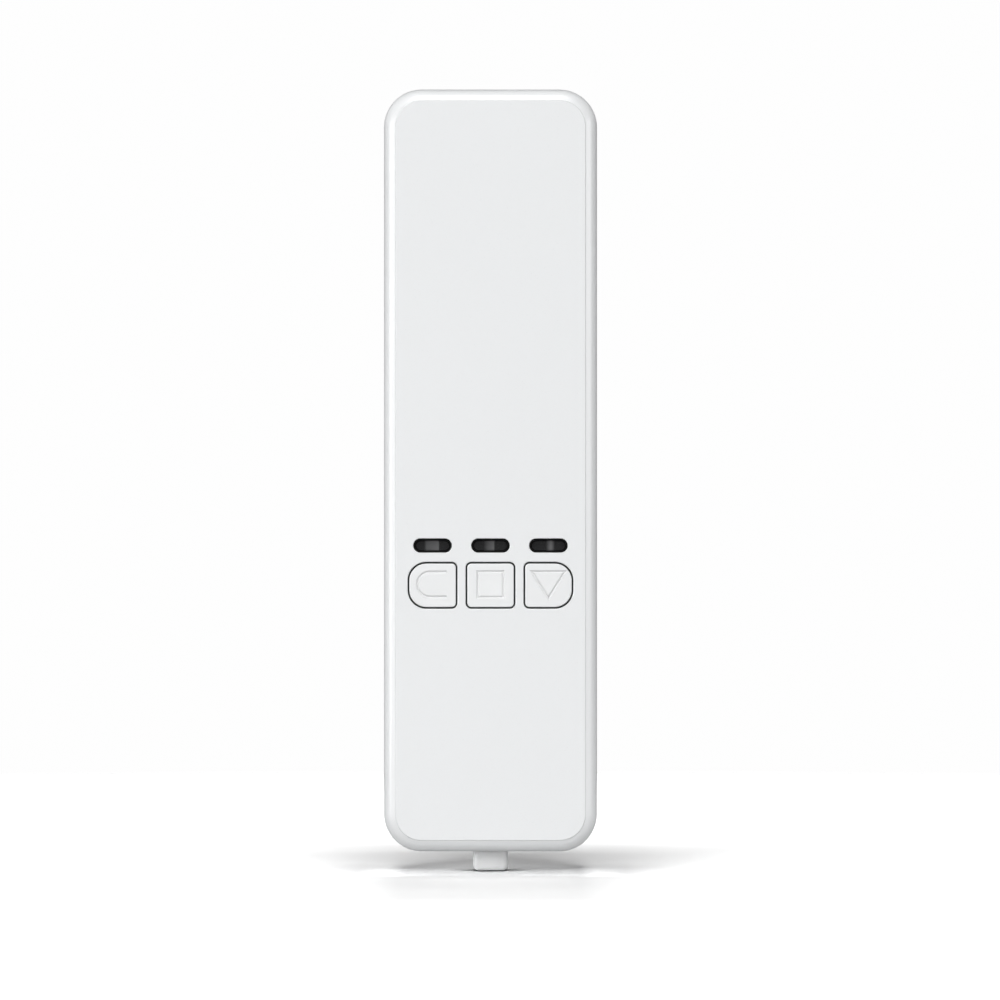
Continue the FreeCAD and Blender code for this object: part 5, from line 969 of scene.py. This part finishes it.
def screwTree():
    tree, take, give = formGroup("screwForm", {
        "Head Radius": 0.002, "Head Tall": 0.0015, "Shank Radius": 0.001, "Shank Long": 0.01,
        "Pitch": 0.0006, "Turn": (0, 0, 0), "Material": "Material"})
    share, rim, tall = screwShares, take["Head Radius"], take["Head Tall"]

    def part(name, amount):  # the amount is a number or the name of a share
        return product(tree, take[name], share.get(amount, amount))

    top, skirtTall = part("Head Radius", "top"), part("Head Tall", "skirt")
    ring = {"fill_type": "NONE", "Vertices": 40, "Radius_Bottom": rim}
    skirt = form(tree, "MeshCone", Radius_Top=rim, Depth=skirtTall, **ring)
    domeTall = part("Head Tall", "dome")
    dome = form(tree, "MeshCone", Radius_Top=top, Depth=domeTall, **ring)
    lid, seat = (form(tree, "MeshCircle", fill_type="NGON", Vertices=40, Radius=radius)
                 for radius in (top, rim))
    head = joined(tree, [shifted(tree, lid, Z=tall), shifted(tree, dome, Z=skirtTall), skirt, seat])
    closed = form(tree, "MergeByDistance", Geometry=head, Distance=1e-6)
    recess = add(tree, "GeometryNodeMeshBoolean", operation="DIFFERENCE", Mesh_1=closed)
    blade, wing, sink = part("Head Radius", "blade"), part("Head Radius", "wing"), part("Head Tall", "sink")
    for first, second in ((blade, wing), (wing, blade)):
        size = add(tree, "CombineXYZ", first, second, sink).outputs[0]
        block = form(tree, "MeshCube", Size=size)
        tree.links.new(shifted(tree, block, Z=tall), recess.inputs["Mesh 2"])
    core = form(tree, "MeshCone", Vertices=28, Radius_Top=part("Shank Radius", "core"),
                Radius_Bottom=part("Shank Radius", "tip"), Depth=take["Shank Long"])
    straight = form(tree, "MeshCylinder", Vertices=28, Radius=part("Shank Radius", "core"),
                    Depth=part("Shank Long", "straight"))
    run, crest = part("Shank Long", "threaded"), part("Shank Radius", "crest")
    helix = form(tree, "CurveSpiral", Resolution=20, Start_Radius=crest, End_Radius=crest,
                 Rotations=maths(tree, "DIVIDE", run, take["Pitch"]), Height=run)
    ridge = form(tree, "CurvePrimitiveCircle", Resolution=4, Radius=part("Shank Radius", "ridge"))
    thread = form(tree, "CurveToMesh", Curve=helix, Profile_Curve=ridge, Fill_Caps=True)
    shank = [shifted(tree, piece, Z=part("Shank Long", -low))
             for piece, low in ((straight, share["straight"] / 2), (core, 1.0), (thread, 0.9))]
    whole = joined(tree, [recess.outputs["Mesh"]] + shank)
    real = stamped(tree, take["Geometry"], whole, Rotation=take["Turn"])
    feed(tree, give[0], withMaterial(tree, real, take["Material"]))
    return tree


def screwFacts(node, axis):  # centre, head and shank of each screw, read from the solid that it dresses
    work = bmesh.new()
    work.from_mesh(nodes[node].data)
    bmesh.ops.remove_doubles(work, verts=work.verts, dist=doubles)
    unseen, facts = set(work.verts), []
    while unseen:
        group, stack = [], [unseen.pop()]
        while stack:
            vert = stack.pop()
            group.append(vert.co / mm)
            for edge in vert.link_edges:
                other = edge.other_vert(vert)
                if other in unseen:
                    unseen.discard(other)
                    stack.append(other)
        low, high = (Vector([limit(co[k] for co in group) for k in range(3)]) for limit in (min, max))
        middle, (one, two) = (low + high) / 2, [k for k in range(3) if k != axis]
        reach = [math.hypot(co[one] - middle[one], co[two] - middle[two]) for co in group]
        headRadius = max(reach)
        heads = [co[axis] for co, radius in zip(group, reach) if radius > headRadius * 0.95]
        shankRadius = max(radius for radius in reach if radius < headRadius * 0.9)
        headUp = high[axis] - max(heads) < min(heads) - low[axis]
        seatAt, far = (min(heads), low[axis]) if headUp else (max(heads), high[axis])
        spot = list(middle)
        spot[axis] = seatAt
        facts.append((spot, headUp, headRadius, max(heads) - min(heads), shankRadius, abs(seatAt - far)))
    work.free()
    return sorted(facts)  # the set above has no order of its own


screws = {  # the axis that the screw stands on, and its pitch
    "case_screws": (1, 0.9),
    "board_screws": (1, 0.6),
    "gearbox_screws": (1, 0.6),
    "motor_screws": (2, 0.45),
    "detent_screw": (1, 0.6),
    "sprocket_screw": (1, 0.5),
}
headWays = {  # how a screw turns on each axis, with its head at the higher end or at the lower
    (1, True): (-quarter, 0, 0),
    (1, False): (quarter, 0, 0),
    (2, True): (0, 0, 0),
    (2, False): (math.pi, 0, 0),
}
tipGap = 0.02


def buildScrews():
    tree, plate = screwTree(), finishes["screw"]
    for node, (axis, pitch) in screws.items():
        parts = []
        for spot, headUp, headRadius, headTall, shankRadius, shankLong in screwFacts(node, axis):
            parts.append(grownFrom(tree, [spot], {
                "Head Radius": headRadius * mm, "Head Tall": headTall * mm, "Shank Radius": shankRadius * mm,
                "Shank Long": (shankLong - tipGap) * mm, "Pitch": pitch * mm,
                "Turn": headWays[axis, headUp], "Material": plate}))
        standIn("threaded_", node, combined(parts), 32)


buildScrews()
print("screws built")

# Geometry Nodes: small parts soldered to the boards, and ribs in the cover's thumb recess

smallParts = {
    "size": (1.6, 0.5, 0.8),
    "bodyShares": (0.92, 0.94),  # the body's depth and height in the tinned ends'
    "seed": 4,
    "rowsUp": (-35.4, -32.6, -29.8, -3.4, -0.8, 1.8, 4.4),
    "columns": (-13.2, -10.4, -7.6, -4.8, -2.0, 0.8, 3.6, 6.4, 9.2, 12.0),
    "skip": (3, 4, 17, 28, 36, 42, 55, 61),
    "boardRear": -34.8,
    "lift": 0.26,
    "encoderSpots": ((-9.6, 80.2), (-7.4, 80.2), (-9.6, 83.0), (9.4, 80.2), (7.2, 80.2), (-9.6, 87.6),
                     (-7.0, 87.6), (7.2, 87.6)),
}
ribs = {"radius": 0.24, "long": 8.2, "count": 3, "step": 0.75, "below": 1.0, "rear": -1.4}


def smallPartTree(p):
    tree, take, give = formGroup("smallPart", {
        "Size": (0.0016, 0.0005, 0.0008), "Ends": 0.28, "Seed": 4, "Body": "Material", "Metal": "Material"})
    size = add(tree, "SeparateXYZ", take["Size"]).outputs
    cap = product(tree, size["X"], take["Ends"])
    inside = maths(tree, "SUBTRACT", size["X"], cap)
    thin, low = (product(tree, size[axis], share) for axis, share in zip("YZ", p["bodyShares"]))

    def block(*sides):
        corner = add(tree, "CombineXYZ", *sides).outputs[0]
        return form(tree, "MeshCube", Size=corner)

    pieces = [withMaterial(tree, block(inside, thin, low), take["Body"])]
    shift = product(tree, inside, 0.5)
    for sign in (1.0, -1.0):
        end = shifted(tree, block(cap, size["Y"], size["Z"]), X=product(tree, shift, sign))
        pieces.append(withMaterial(tree, end, take["Metal"]))
    index = tree.nodes.new("GeometryNodeInputIndex").outputs[0]
    pick = add(tree, "FunctionNodeRandomValue", data_type="INT", ID=index, Seed=take["Seed"])
    whole = [socket for socket in pick.inputs if socket.type == "INT"]
    for limit, value in (("Min", 0), ("Max", 1)):
        [socket for socket in whole if socket.name == limit][0].default_value = value
    chosen = [socket for socket in pick.outputs if socket.type == "INT"][0]
    angle = add(tree, "CombineXYZ", Y=product(tree, chosen, quarter)).outputs[0]
    feed(tree, give[0], stamped(tree, take["Geometry"], joined(tree, pieces), Rotation=angle))
    return tree


def ribTree():
    tree, take, give = formGroup("ribRow", {"Radius": 0.0003, "Long": 0.008, "Material": "Material"})
    radius, long = take["Radius"], take["Long"]
    bar = form(tree, "MeshCylinder", Radius=radius, Depth=long, Vertices=20)
    ball = form(tree, "MeshUVSphere", Radius=radius, Segments=20, Rings=10)
    ends = [shifted(tree, ball, Z=product(tree, long, half)) for half in (0.5, -0.5)]
    real = stamped(tree, take["Geometry"], joined(tree, [bar] + ends), Rotation=(0, quarter, 0))
    feed(tree, give[0], withMaterial(tree, real, take["Material"]))
    return tree


def buildSmallParts(p):
    rear = p["boardRear"] + p["lift"]
    grid = [(x, rear, z) for z in p["rowsUp"] for x in p["columns"]]
    spots = [spot for index, spot in enumerate(grid) if index not in p["skip"]]
    spots += [(x, rear, z) for x, z in p["encoderSpots"]]
    values = {"Size": tuple(metres(p["size"])), "Seed": p["seed"]}
    values.update(Body=finishes["ceramic"], Metal=finishes["shield"])
    keep("smallParts", grownFrom(smallPartTree(p), spots, values), 0, "chip", "driver", dressed=True)


def buildThumbRibs(r):
    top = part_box("chain_cover")[1][2] / mm - r["below"]
    spots = [(0, r["rear"], top - r["step"] * (k + 1)) for k in range(r["count"])]
    values = {"Radius": r["radius"] * mm, "Long": r["long"] * mm, "Material": finishes["casing"]}
    keep("thumbRibs", grownFrom(ribTree(), spots, values), 40, "casing", "cover")


buildSmallParts(smallParts)
buildThumbRibs(ribs)
print("small parts and ribs built")

for node, obj in nodes.items():
    for place in obj.material_slots:
        place.material = finishes[slotOf[node]]
print("carried pieces finished")


def linked(name, objects, state):  # only these objects, or all but these, take light from the lamp
    group = bpy.data.collections.new(name + "Set")
    for obj in objects:
        group.objects.link(obj)
    bpy.data.objects[name].light_linking.receiver_collection = group
    for entry in group.collection_objects:
        entry.light_linking.link_state = state


linked("backLight", [floor, bpy.data.objects["frontShell"]], "EXCLUDE")
linked("tabLight", [bpy.data.objects["soft_release_slider"]], "INCLUDE")
